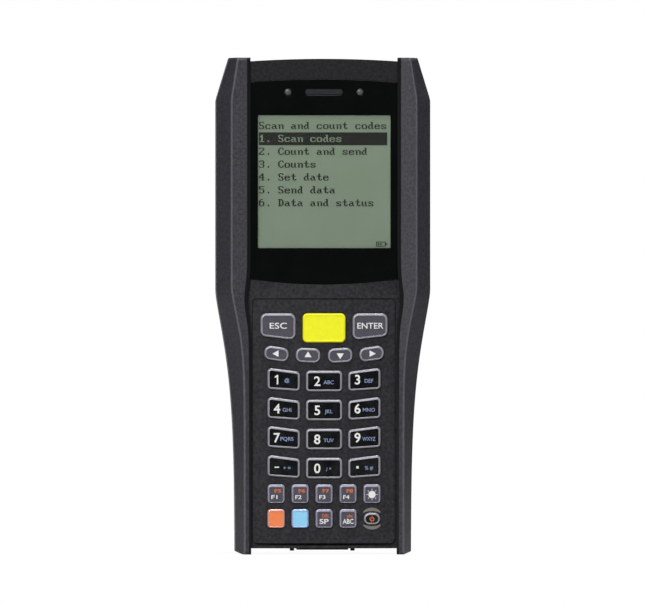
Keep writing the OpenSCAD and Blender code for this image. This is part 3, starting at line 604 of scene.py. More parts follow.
def cell_tree():
    """A shallow square cell on every point."""
    tree, given = geometry_tree("screen_cells", Cell="NodeSocketFloat", Depth="NodeSocketFloat",
                                Finish="NodeSocketMaterial")
    size = add(tree, "ShaderNodeCombineXYZ", {"X": given["Cell"], "Y": given["Depth"], "Z": given["Cell"]})
    cell = add(tree, "GeometryNodeMeshCube", {"Size": size.outputs[0]})
    placed = add(tree, "GeometryNodeInstanceOnPoints", {"Points": given["Geometry"],
                 "Instance": cell.outputs[0]})
    return end_tree(tree, placed.outputs[0], given["Finish"])


def part_tree():
    """A copy of one made part on every point."""
    tree, given = geometry_tree("parts_on_points", Part="NodeSocketObject", Finish="NodeSocketMaterial")
    part = add(tree, "GeometryNodeObjectInfo", {"Object": given["Part"]})
    placed = add(tree, "GeometryNodeInstanceOnPoints", {"Points": given["Geometry"],
                 "Instance": part.outputs["Geometry"]})
    return end_tree(tree, placed.outputs[0], given["Finish"])


def rib_tree():
    """A rank of round ribs lying along X, stepping up in Z from each point."""
    tree, given = geometry_tree("grip_ribs", Count="NodeSocketInt", Pitch="NodeSocketFloat",
                                Length="NodeSocketFloat", Radius="NodeSocketFloat",
                                Finish="NodeSocketMaterial")
    step = add(tree, "ShaderNodeCombineXYZ", {"Z": given["Pitch"]})
    rank = add(tree, "GeometryNodeMeshLine", {"Count": given["Count"], "Offset": step.outputs[0]})
    places = add(tree, "GeometryNodeInstanceOnPoints", {"Points": given["Geometry"],
                 "Instance": rank.outputs[0]})
    real = add(tree, "GeometryNodeRealizeInstances", {"Geometry": places.outputs[0]})
    bar = add(tree, "GeometryNodeMeshCylinder", {"Vertices": 20, "Radius": given["Radius"],
              "Depth": given["Length"]})
    ribs = add(tree, "GeometryNodeInstanceOnPoints", {"Points": real.outputs[0], "Instance": bar.outputs[0],
               "Rotation": (0, math.pi / 2, 0)})
    return end_tree(tree, ribs.outputs[0], given["Finish"])


def cloth_tree():
    """Crossed wires in a stadium outline: two crossed wires on each grid point inside it."""
    tree, given = geometry_tree("speaker_cloth", Length="NodeSocketFloat", Height="NodeSocketFloat",
                                Pitch="NodeSocketFloat", Wire="NodeSocketFloat", Finish="NodeSocketMaterial")
    # A grid with a point for each crossing.
    count = []
    for size in ("Length", "Height"):
        gaps = add(tree, "ShaderNodeMath", {0: given[size], 1: given["Pitch"]}, operation="DIVIDE")
        count.append(add(tree, "ShaderNodeMath", {0: gaps.outputs[0], 1: 1}, operation="ADD").outputs[0])
    grid = add(tree, "GeometryNodeMeshGrid", {"Size X": given["Length"], "Size Y": given["Height"],
               "Vertices X": count[0], "Vertices Y": count[1]})
    # How far a point lies from the stadium's middle line, and how far it may.
    here = add(tree, "GeometryNodeInputPosition").outputs[0]
    place = add(tree, "ShaderNodeSeparateXYZ", {"Vector": here})
    straight = add(tree, "ShaderNodeMath", {0: given["Length"], 1: given["Height"]}, operation="SUBTRACT")
    half = add(tree, "ShaderNodeMath", {0: straight.outputs[0], 1: 2}, operation="DIVIDE")
    aside = add(tree, "ShaderNodeMath", {0: place.outputs["X"]}, operation="ABSOLUTE")
    beyond = add(tree, "ShaderNodeMath", {0: aside.outputs[0], 1: half.outputs[0]}, operation="SUBTRACT")
    past = add(tree, "ShaderNodeMath", {0: beyond.outputs[0], 1: 0}, operation="MAXIMUM")
    up = add(tree, "ShaderNodeMath", {0: place.outputs["Y"]}, operation="ABSOLUTE")
    past_square = add(tree, "ShaderNodeMath", {0: past.outputs[0], 1: 2}, operation="POWER")
    up_square = add(tree, "ShaderNodeMath", {0: up.outputs[0], 1: 2}, operation="POWER")
    square = add(tree, "ShaderNodeMath", {0: past_square.outputs[0], 1: up_square.outputs[0]},
                 operation="ADD")
    reach = add(tree, "ShaderNodeMath", {0: square.outputs[0]}, operation="SQRT")
    radius = add(tree, "ShaderNodeMath", {0: given["Height"], 1: 2}, operation="DIVIDE")
    margin = add(tree, "ShaderNodeMath", {0: given["Pitch"], 1: 4}, operation="DIVIDE")
    limit = add(tree, "ShaderNodeMath", {0: radius.outputs[0], 1: margin.outputs[0]}, operation="SUBTRACT")
    outside = add(tree, "ShaderNodeMath", {0: reach.outputs[0], 1: limit.outputs[0]},
                  operation="GREATER_THAN")
    kept = add(tree, "GeometryNodeDeleteGeometry", {"Geometry": grid.outputs[0],
               "Selection": outside.outputs[0]})
    # The wires, one way and the other.
    wire = add(tree, "GeometryNodeMeshCylinder", {"Vertices": 8, "Radius": given["Wire"],
               "Depth": given["Pitch"]})
    ways = [add(tree, "GeometryNodeInstanceOnPoints", {"Points": kept.outputs[0], "Instance": wire.outputs[0],
            "Rotation": turn}) for turn in ((math.pi / 2, 0, 0), (0, math.pi / 2, 0))]
    both = add(tree, "GeometryNodeJoinGeometry")
    for way in ways:
        tree.links.new(way.outputs[0], both.inputs[0])
    smooth = add(tree, "GeometryNodeSetShadeSmooth", {0: both.outputs[0]})
    return end_tree(tree, smooth.outputs[0], given["Finish"])


# ---- casing ----


RAIL_STEPS = 4                        # each corner of a rail's section is an arc of this many chords
CORNER_POINTS = RAIL_STEPS + 1
LIP_SIDES = range(2 * CORNER_POINTS, 4 * CORNER_POINTS)
RIDGE_SIDES = range(6 * CORNER_POINTS - 3, 6 * CORNER_POINTS + 2)
PAINTED, SHADED_LIP, HIGHLIGHTED_RIDGE = 0, 1, 2  # a rail's materials, in the order of its slots


def rail_section(z):
    """A rail's section: a lip over the lens that stands in for the shadow gap there, the front facet, a
    narrow ridge and the outer facet.
    """
    lip = inner_x(z) - LIP_FOOT_W - (LIP_HEAD_W - LIP_FOOT_W) * fall(z, WAIST_Z, 14, 1.6)
    floor, front = LENS_Y - FIT_GAP, rail_y(z)
    corners = [(inner_x(z), RAIL_BACK), (inner_x(z), floor), (lip, floor), (lip, floor - 0.3),
               (inner_x(z), front + 0.5), (ridge_x(z) - 0.45, front), (ridge_x(z) + 0.15, front + 0.4),
               (outer_x(z), front + FACET_DEPTH), (outer_x(z), RAIL_BACK)]
    return rounded(corners, (0.2, 0.1, 0.1, 0.12, 0.3, 0.3, 0.3, 1.0, 0.6), RAIL_STEPS)


def make_rails():
    """Side rails, painted outside, with painted shade on their inner lips and a painted highlight along each
    ridge.
    """
    levels = [0, 0.3, 0.8] + heights(FOOT_CHAMFER, BODY_L - 1.2, 1.5)
    levels += [BODY_L - drop for drop in (0.8, 0.5, 0.2, 0)]

    def rail_slot(row, side):
        if row in (0, len(levels)):
            return PAINTED
        if side in LIP_SIDES:
            return SHADED_LIP
        # The ridge's faces take the paler paint, a painted highlight.
        return HIGHLIGHTED_RIDGE if side in RIDGE_SIDES else PAINTED

    for hand, node in ((-1, "left_rail"), (1, "right_rail")):
        bm = bmesh.new()
        loft(bm, [[(hand * x, y, z) for x, y in rail_section(z)] for z in levels], rail_slot)
        rail = from_bmesh(node + "_shell", bm, RAIL, LIP_SHADE, RIDGE_HIGHLIGHT)
        seat(soften(rail, 0.2, 50), "case", "rail_plastic", node)


def field_tree():
    """A plate whose face is crowned across its width by a radius."""
    tree, given = geometry_tree("crowned_plate", Width="NodeSocketFloat", Height="NodeSocketFloat",
                                Radius="NodeSocketFloat", Thickness="NodeSocketFloat",
                                Finish="NodeSocketMaterial")
    flat = add(tree, "GeometryNodeMeshGrid", {"Size X": given["Width"], "Size Y": given["Height"],
               "Vertices X": 65, "Vertices Y": 5})
    here = add(tree, "GeometryNodeInputPosition").outputs[0]
    across = add(tree, "ShaderNodeSeparateXYZ", {"Vector": here})
    square = add(tree, "ShaderNodeMath", {0: across.outputs["X"], 1: 2.0}, operation="POWER")
    twice = add(tree, "ShaderNodeMath", {0: given["Radius"], 1: -2.0}, operation="MULTIPLY")
    sag = add(tree, "ShaderNodeMath", {0: square.outputs[0], 1: twice.outputs[0]}, operation="DIVIDE")
    drop = add(tree, "ShaderNodeCombineXYZ", {"Z": sag.outputs[0]})
    crowned = add(tree, "GeometryNodeSetPosition", {"Geometry": flat.outputs[0], "Offset": drop.outputs[0]})
    down = add(tree, "ShaderNodeMath", {0: given["Thickness"], 1: -1.0}, operation="MULTIPLY")
    thick = add(tree, "GeometryNodeExtrudeMesh", {"Mesh": crowned.outputs[0], "Offset Scale": down.outputs[0],
                "Individual": False})
    flipped = add(tree, "GeometryNodeFlipFaces", {"Mesh": crowned.outputs[0]})
    both = add(tree, "GeometryNodeJoinGeometry")
    tree.links.new(thick.outputs[0], both.inputs[0])
    tree.links.new(flipped.outputs[0], both.inputs[0])
    whole = add(tree, "GeometryNodeMergeByDistance", {"Geometry": both.outputs[0], "Distance": 1e-6})
    return end_tree(tree, whole.outputs[0], given["Finish"])


def crown_y(x):
    """The key field's face."""
    return FIELD_Y + x * x / (2 * CROWN_R)


PLATE_SPARE = 4                       # a crowned sheet is cut from one this much larger
PROUD = 0.03                          # how far a crowned plate stands before the CAD's face


def crowned_plate(name, outline, y, thickness):
    """Plate over an outline, crowned across its width, its middle line on a plane."""
    xs, zs = zip(*outline)
    sheet = grow(name, field_tree(), point_mesh([]), CASING, Width=(max(xs) - min(xs) + PLATE_SPARE) * MM,
                 Height=(max(zs) - min(zs) + PLATE_SPARE) * MM, Radius=CROWN_R * MM, Thickness=thickness * MM)
    sheet.data.transform(Matrix.Translation(Vector((0, y - PROUD, (min(zs) + max(zs)) / 2)) * MM)
                         @ Matrix.Rotation(math.pi / 2, 4, "X"))
    return carve(sheet, tool(plate, outline, FRONT_Y - 1, FRONT_Y + 8), "INTERSECT")


FACE_T, FIELD_T = 0.4, 0.8
WELL_GAP, WELL_LOW_GAP = 0.25, 0.8    # round the key field, and below it
WELL_FLOOR_Y = -14.35
HOLE_FLOOR_Y = -12


def make_front():
    """Front shell: a crowned face up to the lens, and let into it the key field with rounded key holes."""
    front = from_bmesh("front_shell", node_copy("front_housing"), CASING)
    bow = lens_outline(FIT_GAP)[:2 * LENS_STEPS + 1][::-1]
    sides = between_rails(BASE_Z + 0.1, bow[0][1], 0.1)
    half = len(sides) // 2
    face = crowned_plate("front_face", sides[:half] + bow + sides[half:], FRONT_FACE_Y, FACE_T)
    well = rounded(rectangle(-FIELD_W / 2 - WELL_GAP, FIELD_LOW - WELL_LOW_GAP, FIELD_W / 2 + WELL_GAP,
                             FIELD_TOP + WELL_GAP), 1.6)
    for shell in (front, face):
        carve(shell, tool(plate, well, FRONT_Y - 1, WELL_FLOOR_Y))
    seat(soften(front, 0.2, 40, 2), "case", "housing_plastic", "front_housing")
    seat(soften(face, 0.1, 40, 2), "case", "housing_plastic")
    edge = rounded(rectangle(-FIELD_W / 2, FIELD_LOW, FIELD_W / 2, FIELD_TOP), 1.5)
    field = crowned_plate("key_field", edge, FIELD_Y, FIELD_T)
    for node in frame["nodes"]:
        if node.startswith("key_") and node != "key_board":
            carve(field, tool(plate, inset(key_outline(node), -FIT_GAP), FRONT_Y - 1, HOLE_FLOOR_Y))
    seat(soften(field, 0.2, 40, 2), "case", "housing_plastic")


CRESCENT_HALF_W, MARK_T = 2.9, 0.06


def make_power_marks():
    """Two printed crescents on the key field, above and below the power key."""
    low, high = span("key_power")
    x, z = (low.x + high.x) / 2, (low.z + high.z) / 2
    bm = bmesh.new()
    for way in (-1, 1):
        rows = []
        for k in range(-8, 9):
            t = k / 8
            across = x + CRESCENT_HALF_W * t
            rise = math.sqrt(1 - 0.75 * t * t)      # 1 at the middle, a half at the tips
            rows.append([(across, z + way * h) for h in (1.3 + 1.25 * rise, 1.15 + 2.6 * rise)])
        for (a, b), (c, d) in zip(rows, rows[1:]):
            y = crown_y((a[0] + c[0]) / 2)
            plate(bm, (a, c, d, b), y - MARK_T, y)
    seat(from_bmesh("power_key_marks", bm, INK_GREY), "case", "housing_plastic")


def rear_ring(z, shrink=0):
    """Section behind the rails: straight flanks, then quarter ellipses into the flat back."""
    start = RAIL_BACK + REAR_EDGE
    depth = rear_y(z) - start
    half = [(rear_x(z) - shrink, RAIL_BACK)]
    for k in range(13):
        turn = math.radians(90 * k / 12)
        half.append((rear_x(z) - CORNER_X + (CORNER_X - shrink) * math.cos(turn),
                     start + (depth - shrink) * math.sin(turn)))
    return [(x, y, z) for x, y in half] + [(-x, y, z) for x, y in reversed(half)]


def between_rails(z0, z1, gap):
    """Outline between the rails, anticlockwise, with a gap to their inner walls."""
    levels = heights(z0, z1, 2)
    return [(inner_x(z) - gap, z) for z in levels] + [(-inner_x(z) + gap, z) for z in reversed(levels)]


POST_R = 2.4                          # screw posts
SCREW_SPOTS = [(side * (inner_x(z) - WALL - POST_R - 0.1), z) for side in (-1, 1)
               for z in (BASE_Z + WALL + POST_R + 0.2, 87.7, CAP_Z - WALL - POST_R - 1)]
HEAD_R, HEAD_Y = 1.9, SCREW_BACK_Y - 1.6
HINGE_DROP = 2.2                      # hinge line from the cover's top edge and outer face
CAVITY_Z = COVER_HI.z - HINGE_DROP + 4.6
BAY_X = PACK_HI.x + 0.3               # half width of the battery bay
LEDGE_X = BAY_X + 0.75                # and of the ledge that the cover lies on
FLANGE_X = LOCK_HI.x - 1              # half width of the lock's narrow outer part
MOUTH = ((-8.85, -1.55, -1), (8.85, 5.55, 5.1))    # opening for the dock's plug
PEG_X, PEG_HALF_W, PEG_LO_Y, PEG_HI_Y = 10.4, 0.75, 0.45, 3.55
DOCK_ROOM = ((-12.8, SPLIT_Y - 1, BASE_Z + WALL), (12.8, 5.7, 11.7))


def cavity_ring(z):
    """Inside of the deep head at a height."""
    x, back = inner_x(z) - REAR_WALL, rear_y(z) - REAR_WALL
    return [(-x, SPLIT_Y - 1, z), (x, SPLIT_Y - 1, z), (x, back, z), (-x, back, z)]


def rear_cuts():
    """What is cut out of the rear shell, in order: a solid's function and its sizes."""
    yield loft, [cavity_ring(z) for z in heights(CAVITY_Z, CAP_Z + 0.5, 2.5)]
    rim = between_rails(BASE_Z + WALL, CAP_Z - WALL, WALL)[::-1]
    yield plate, rim, SPLIT_Y - 1, SPLIT_Y + 0.4
    # Battery bay, the ledge that the cover lies on, and the notch and bore of its hinge.
    yield block, (-BAY_X, PACK_LO.y - 0.1, PACK_LO.z - 0.1), (BAY_X, BACK_Y, PACK_HI.z + 0.6)
    ledge_y, ledge_z = GRIP_Y - WALL - FIT_GAP, COVER_LO.z - FIT_GAP
    yield block, (-LEDGE_X, ledge_y, ledge_z), (LEDGE_X, BACK_Y, PACK_HI.z + 0.65)
    yield block, (-LEDGE_X, COVER_LO.y - FIT_GAP, PACK_HI.z + 0.5), (LEDGE_X, BACK_Y, COVER_HI.z + FIT_GAP)
    hinge = (COVER_HI.y - HINGE_DROP, COVER_HI.z - HINGE_DROP)
    yield rod, 0, hinge, 1.25, COVER_LO.x - 0.1, COVER_HI.x + 0.1
    # Slideway of the lock.
    way_y, way_z = LOCK_LO.y - 0.1, LOCK_LO.z - 0.3
    yield block, (-FLANGE_X - 0.1, way_y, way_z), (FLANGE_X + 0.1, BACK_Y, COVER_LO.z)
    yield block, (LOCK_LO.x - 0.1, way_y, way_z), (LOCK_HI.x + 0.1, LOCK_LO.y + 0.9, COVER_LO.z)
    # Dock's mouth, its two peg holes and the room behind them.
    yield block, *MOUTH
    for x in (-PEG_X, PEG_X):
        yield block, (x - PEG_HALF_W, PEG_LO_Y, -1), (x + PEG_HALF_W, PEG_HI_Y, 5.1)
    yield block, *DOCK_ROOM
    for spot in SCREW_SPOTS:
        yield rod, 1, spot, HEAD_R + 0.15, HEAD_Y, BACK_Y + 2


def make_rear():
    """Rear shell: swollen head, flat grip, with the battery bay, hinge notch, slideway and screw wells."""
    bm = bmesh.new()
    levels = heights(BASE_Z, BASE_Z + 0.8, 0.4)[:-1] + heights(BASE_Z + 0.8, CAP_Z, 1.6)
    loft(bm, [rear_ring(z) for z in levels])
    rear = from_bmesh("rear_shell", bm, CASING)
    skirt = between_rails(BASE_Z, CAP_Z, 0)[::-1]
    carve(rear, tool(plate, skirt, SPLIT_Y, RAIL_BACK + REAR_EDGE), "UNION")
    for cut in rear_cuts():
        carve(rear, tool(*cut))
    seat(soften(rear, 0.25, 40, 2), "case", "housing_plastic", "rear_housing")


LENS_STEPS = 24                       # chords along half of a bowed edge


def lens_outline(outset=0):
    """Lens outline: straight sides, bowed top and bottom edges, anticlockwise."""
    half = inner_x(CAP_Z) - 0.45 + outset
    low_r = ((half - outset) ** 2 + LENS_LOW_BOW ** 2) / (2 * LENS_LOW_BOW)
    top_r = ((half - outset) ** 2 + LENS_TOP_BOW ** 2) / (2 * LENS_TOP_BOW)
    low_z, top_z = LENS_LOW - LENS_LOW_BOW + low_r, LENS_TOP + LENS_TOP_BOW - top_r
    xs = [half * k / LENS_STEPS for k in range(-LENS_STEPS, LENS_STEPS + 1)]
    low = [(x, low_z - math.sqrt((low_r + outset) ** 2 - x * x)) for x in xs]
    top = [(x, top_z + math.sqrt((top_r + outset) ** 2 - x * x)) for x in reversed(xs)]
    return low + top


CAP_ROUND = 0.8                       # radius along the cap's outer top edge


def make_cap():
    """End cap: arched across the top, with the scan window's seat let into it."""
    bm = bmesh.new()
    levels = heights(CAP_Z, CAP_TOP - CAP_ROUND, 1.2) + [CAP_TOP - k for k in (0.55, 0.3, 0.1, 0)]
    rings = []
    for z in levels:
        up = over(z, CAP_TOP - CAP_ROUND)
        rings.append(rear_ring(z, CAP_ROUND - math.sqrt(max(0, CAP_ROUND ** 2 - up ** 2))))
    loft(bm, rings)
    cap = from_bmesh("end_cap", bm, CAP_PLASTIC)
    front = between_rails(CAP_Z, CAP_TOP, 0)[::-1]
    carve(cap, tool(plate, front, LENS_Y + 0.2, RAIL_BACK + REAR_EDGE), "UNION")
    arch_r = (inner_x(CAP_Z) ** 2 + CAP_ARCH ** 2) / (2 * CAP_ARCH)
    carve(cap, tool(rod, 1, (0, CAP_TOP - arch_r), arch_r, FRONT_Y - 1, BACK_Y + 1, 720), "INTERSECT")
    carve(cap, tool(plate, lens_outline(FIT_GAP), FRONT_Y, SEAT_Y))
    for aside, floor in ((0.1, WINDOW_LO.z), (-1, CAP_Z - 1)):
        carve(cap, tool(block, (WINDOW_LO.x - aside, WINDOW_LO.y - aside, floor),
                        (WINDOW_HI.x + aside, WINDOW_HI.y + aside, BODY_L + 1)))
    seat(soften(cap, 0.45, 40, 3), "case", "housing_plastic", "top_cap")
    pane = from_bmesh("scan_window_pane", node_copy("scan_window"), WINDOW)
    seat(soften(pane, 0.2, 40, 2), "case", "window", "scan_window")


# ---- display ----


def slot_outline(outset=0, steps=12):
    """The speaker's slot: a bar with round ends."""
    r = (GRILLE_HI.z - GRILLE_LO.z) / 2 + outset
    x = (GRILLE_HI.x - GRILLE_LO.x) / 2 + outset - r
    return [around(centre, SLOT_Z, r, start + 180 * k / steps)
            for centre, start in ((x, -90), (-x, 90)) for k in range(steps + 1)]


SCREEN_Y = LENS_Y + 0.5               # the liquid crystal, behind the clear window
PANE_T = 0.25                         # how far the clear window reaches behind the lens' face
LAMPS, LAMP_R = ("status_lamp", "charge_lamp"), 1.2


def make_lens():
    """Display lens: black-backed, with a clear window over the screen, the speaker's slot and lamp holes."""
    bm = bmesh.new()
    plate(bm, lens_outline(), LENS_Y, SEAT_Y)
    sheet = from_bmesh("lens_sheet", bm, LENS_BLACK)
    window = rounded(rectangle(-SCREEN_W / 2 + 0.2, SCREEN_Z, SCREEN_W / 2, SCREEN_Z + SCREEN_H), 0.25)
    holes = bmesh.new()
    plate(holes, window, LENS_Y - 1, SEAT_Y + 1)
    plate(holes, slot_outline(FIT_GAP), LENS_Y - 1, SEAT_Y + 1)
    for node in LAMPS:
        low, high = span(node)
        rod(holes, 1, ((low.x + high.x) / 2, SLOT_Z), LAMP_R + 0.05, LENS_Y - 1, SEAT_Y + 1)
    carve(sheet, from_bmesh("tool", holes))
    seat(soften(sheet, 0.12, 40, 2), "case", "lens", "display_lens")
    for name, front, back, finish, slot in (
            ("lens_window", LENS_Y + 0.01, LENS_Y + PANE_T, LENS_CLEAR, "lens"),
            ("screen_face", SCREEN_Y, SEAT_Y, SCREEN, "screen")):
        bm = bmesh.new()
        plate(bm, inset(window, 0.01), front, back)
        seat(from_bmesh(name, bm, finish), "case", slot)


# Screen characters: the first row used, of 16, then rows of 8 cells, where a hash is dark.
CHARACTERS = {
    "1": (2, "...##... ..###... .####... ...##... ...##... ...##... ...##... ...##... .######."),
    "2": (2, ".#####.. ##...##. .....##. ....##.. ...##... ..##.... .##..... ##...##. #######."),
    "3": (2, ".#####.. ##...##. .....##. .....##. ..####.. .....##. .....##. ##...##. .#####.."),
    "4": (2, "....##.. ...###.. ..####.. .##.##.. ##..##.. #######. ....##.. ....##.. ...####."),
    "5": (2, "#######. ##...... ##...... ######.. .....##. .....##. .....##. ##...##. .#####.."),
    "6": (2, "..###... .##..... ##...... ######.. ##...##. ##...##. ##...##. ##...##. .#####.."),
    ".": (9, "...##... ...##..."),
    "S": (2, ".#####.. ##...##. ##...... .##..... .#####.. ....##.. .....##. ##...##. .#####.."),
    "C": (2, "..####.. .##..##. ##....#. ##...... ##...... ##...... ##....#. .##..##. ..####.."),
    "D": (2, "#####... .##.##.. .##..##. .##..##. .##..##. .##..##. .##..##. .##.##.. #####..."),
    "a": (5, ".####... ....##.. .#####.. ##..##.. ##..##.. .###.##."),
    "c": (5, ".#####.. ##...##. ##...... ##...... ##...##. .#####.."),
    "d": (2, "...###.. ....##.. ....##.. ..####.. .##.##.. ##..##.. ##..##.. ##..##.. .###.##."),
    "e": (5, ".#####.. ##...##. #######. ##...... ##...##. .#####.."),
    "n": (5, "##.###.. .##..##. .##..##. .##..##. .##..##. .##..##."),
    "o": (5, ".#####.. ##...##. ##...##. ##...##. ##...##. .#####.."),
    "s": (5, ".#####.. ##...##. .###.... ...###.. ##...##. .#####.."),
    "t": (2, "...#.... ..##.... ..##.... ######.. ..##.... ..##.... ..##.... ..##.##. ...###.."),
    "u": (5, "##..##.. ##..##.. ##..##.. ##..##.. ##..##.. .###.##."),
    " ": (2, "")}
SCREEN_LINES = ["Scan and count codes", "1. Scan codes", "2. Count and send", "3. Counts", "4. Set date",
                "5. Send data", "6. Data and status"]
CHOSEN_LINE = 1
CELL = 0.275                          # pitch of the screen's cells
CELL_W, CELL_T = 0.262, 0.14          # and the size of one
CELLS_LEFT, CELLS_TOP = -22.3, SCREEN_Z + SCREEN_H - 1.45
LINE_CELLS, COLUMN_CELLS, SCREEN_CELLS = 16, 8, 160
BATTERY_MARK = "############.. #..........#.. #.##.##....### #.##.##....### #..........#.. ############.."
MARK_LEFT, MARK_TOP = SCREEN_CELLS - 14, SCREEN_CELLS - 8


def dark_cells(rows, left, top):
    """Columns and rows of a pattern's dark cells, counted from the screen's upper left."""
    return {(left + x, top + y) for y, row in enumerate(rows.split())
            for x, cell in enumerate(row) if cell == "#"}


def lit_cells():
    """Every dark cell: the lines of text, one of them reversed in a bar, and the battery mark."""
    cells = set()
    for line, text in enumerate(SCREEN_LINES):
        for column, letter in enumerate(text):
            first, rows = CHARACTERS[letter]
            cells |= dark_cells(rows, column * COLUMN_CELLS, line * LINE_CELLS + first + 1)
    top = CHOSEN_LINE * LINE_CELLS
    cells ^= {(x, y) for x in range(SCREEN_CELLS) for y in range(top, top + LINE_CELLS)}
    return cells | dark_cells(BATTERY_MARK, MARK_LEFT, MARK_TOP)


def make_screen():
    """The screen's dark cells, standing a hair before the liquid crystal."""
    points = [(CELLS_LEFT + (x + 0.5) * CELL, SCREEN_Y, CELLS_TOP - (y + 0.5) * CELL)
              for x, y in sorted(lit_cells())]
    cells = grow("screen_cells", cell_tree(), point_mesh(points), SCREEN_DARK, Cell=CELL_W * MM,
                 Depth=CELL_T * MM)
    seat(cells, "case", "screen")


def make_grille():
    """Speaker cloth: crossed wires before a dark backing in the lens' slot."""
    bm = bmesh.new()
    plate(bm, slot_outline(), GRILLE_LO.y + 0.45, GRILLE_HI.y)
    backing = from_bmesh("speaker_backing", bm, BLACK_PLASTIC)
    seat(backing, "case", "grille")
    cloth = grow("speaker_cloth", cloth_tree(), point_mesh([]), WIRE, Length=(GRILLE_HI.x - GRILLE_LO.x) * MM,
                 Height=(GRILLE_HI.z - GRILLE_LO.z) * MM, Pitch=0.3 * MM, Wire=0.06 * MM)
    cloth.data.transform(Matrix.Translation(Vector((0, GRILLE_LO.y + 0.2, SLOT_Z)) * MM)
                         @ Matrix.Rotation(math.pi / 2, 4, "X"))
    seat(cloth, "case", "grille", "speaker_grille")


def make_lamps():
    """Indicators: domed ends of two light pipes."""
    for node in LAMPS:
        low, high = span(node)
        profile = []
        for k in range(7):
            turn = math.radians(15 * k)
            profile.append((LAMP_R * max(0.02, math.sin(turn)), low.y + 0.5 * (1 - math.cos(turn)) ** 1.4))
        profile.append((LAMP_R, high.y))
        bm = bmesh.new()
        turned(bm, (low.x + high.x) / 2, SLOT_Z, profile, 12)
        seat(from_bmesh(node + "_pipe", bm, LAMP), "case", "lamp", node)


# ---- keys ----

KEY_BEVEL = 0.35
FLANGE_W, FLANGE_T = 0.55, 0.8
RIM_W, RIM_DEPTH = 0.7, 0.5
SMALL_RIM_W, SMALL_HIGHLIGHT_DROP = 0.65, 0.3   # on the small keys; the drop widens the rim's top edge, a painted highlight
FACE_DROP = 0.12                      # how far a key's flat face lies behind its rim
DIGIT_LETTERS = {"1": "@", "2": "ABC", "3": "DEF", "4": "GHI", "5": "JKL", "6": "MNO", "7": "PQRS",
                 "8": "TUV", "9": "WXYZ", "minus": "+ =", "0": "/ *", "point": "% #"}
WHITE, BLUE, ORANGE = 0, 1, 2         # print materials, in the order of a legend's slots
CAPITAL = 0.69                        # a capital's height as a share of the font's size
INK_T = 0.02                          # how far print stands off a key's face
DIGIT_H, DIGIT_ASIDE, DIGIT_DROP = 3.15, 2.35, 1.5


def key_outline(node):
    """A key's outline where its side wall starts, anticlockwise seen from the front."""
    level = span(node)[0].y + KEY_BEVEL
    points = list({(round(v.co.x / MM, 4), round(v.co.z / MM, 4)) for v in frame["nodes"][node].data.vertices
                   if abs(v.co.y / MM - level) < 0.02})
    hull = [points[i] for i in convex_hull_2d(points)]
    hull = [a for a, b in zip(hull, hull[1:] + hull[:1]) if math.dist(a, b) > 0.03]
    area = sum(a[0] * b[1] - b[0] * a[1] for a, b in zip(hull, hull[1:] + hull[:1]))
    return hull if area > 0 else hull[::-1]


def make_key_cap(node, rim, face, slot, rim_w=RIM_W, highlight_drop=0.12):
    """Key cap: a rolled rim round a flat sunk face, which is moved down to widen the pale rim's top edge as a
    painted highlight of light from above.
    Gives the face's middle and its plane."""
    low, high = span(node)
    profile = [(-FLANGE_W, high.y), (-FLANGE_W, high.y - FLANGE_T), (0, high.y - FLANGE_T),
               (0, low.y + RIM_DEPTH + 0.05)]
    for k in range(1, 9):
        turn = math.radians(90 * k / 8)
        profile.append(((rim_w - 0.06) * (1 - math.cos(turn)), low.y + RIM_DEPTH * (1 - math.sin(turn))))
    rim_rows = len(profile)
    top = low.y + FACE_DROP
    profile += [(rim_w, low.y + 0.03), (rim_w + 0.02, top), (rim_w + 0.05, top)]
    outline = key_outline(node)
    bm = bmesh.new()
    loft(bm, [[(x, y, z - highlight_drop * max(0, distance / rim_w)) for x, z in inset(outline, distance)]
              for distance, y in profile], lambda row, side: 0 if row <= rim_rows else 1)
    seat(from_bmesh(node + "_cap", bm, rim, face), node, slot, node)
    xs, zs = zip(*outline)
    return (min(xs) + max(xs)) / 2, (min(zs) + max(zs)) / 2 - highlight_drop, top


def print_text(bm, text, x, base, height, y, ink, weight=0.0, width=None):
    """Adds raised lettering in the built-in font: x is its middle, base its foot, height its capitals'."""
    curve = bpy.data.curves.new("lettering", "FONT")
    curve.body = text
    curve.size = height / CAPITAL
    curve.extrude = INK_T
    curve.offset = weight
    curve.resolution_u = 4
    thing = add_object("lettering", curve)
    graph = bpy.context.evaluated_depsgraph_get()
    mesh = bpy.data.meshes.new_from_object(thing.evaluated_get(graph), depsgraph=graph)
    xs = [v.co.x for v in mesh.vertices]
    stretch = width / (max(xs) - min(xs)) if width else 1
    place = Matrix.Translation((x, y, base)) @ Matrix.Rotation(math.pi / 2, 4, "X")
    centred = Matrix.Diagonal((stretch, 1, 1, 1)) @ Matrix.Translation((-(min(xs) + max(xs)) / 2, 0, 0))
    mesh.transform(Matrix.Scale(MM, 4) @ place @ centred)
    first = len(bm.faces)
    bm.from_mesh(mesh)
    bm.faces.ensure_lookup_table()
    for polygon in bm.faces[first:]:
        polygon.material_index = ink
    bpy.data.objects.remove(thing)
    bpy.data.meshes.remove(mesh)


def print_shape(bm, outline, y, ink):
    """Adds raised print over an outline."""
    plate(bm, outline, y - INK_T, y + INK_T, ink)


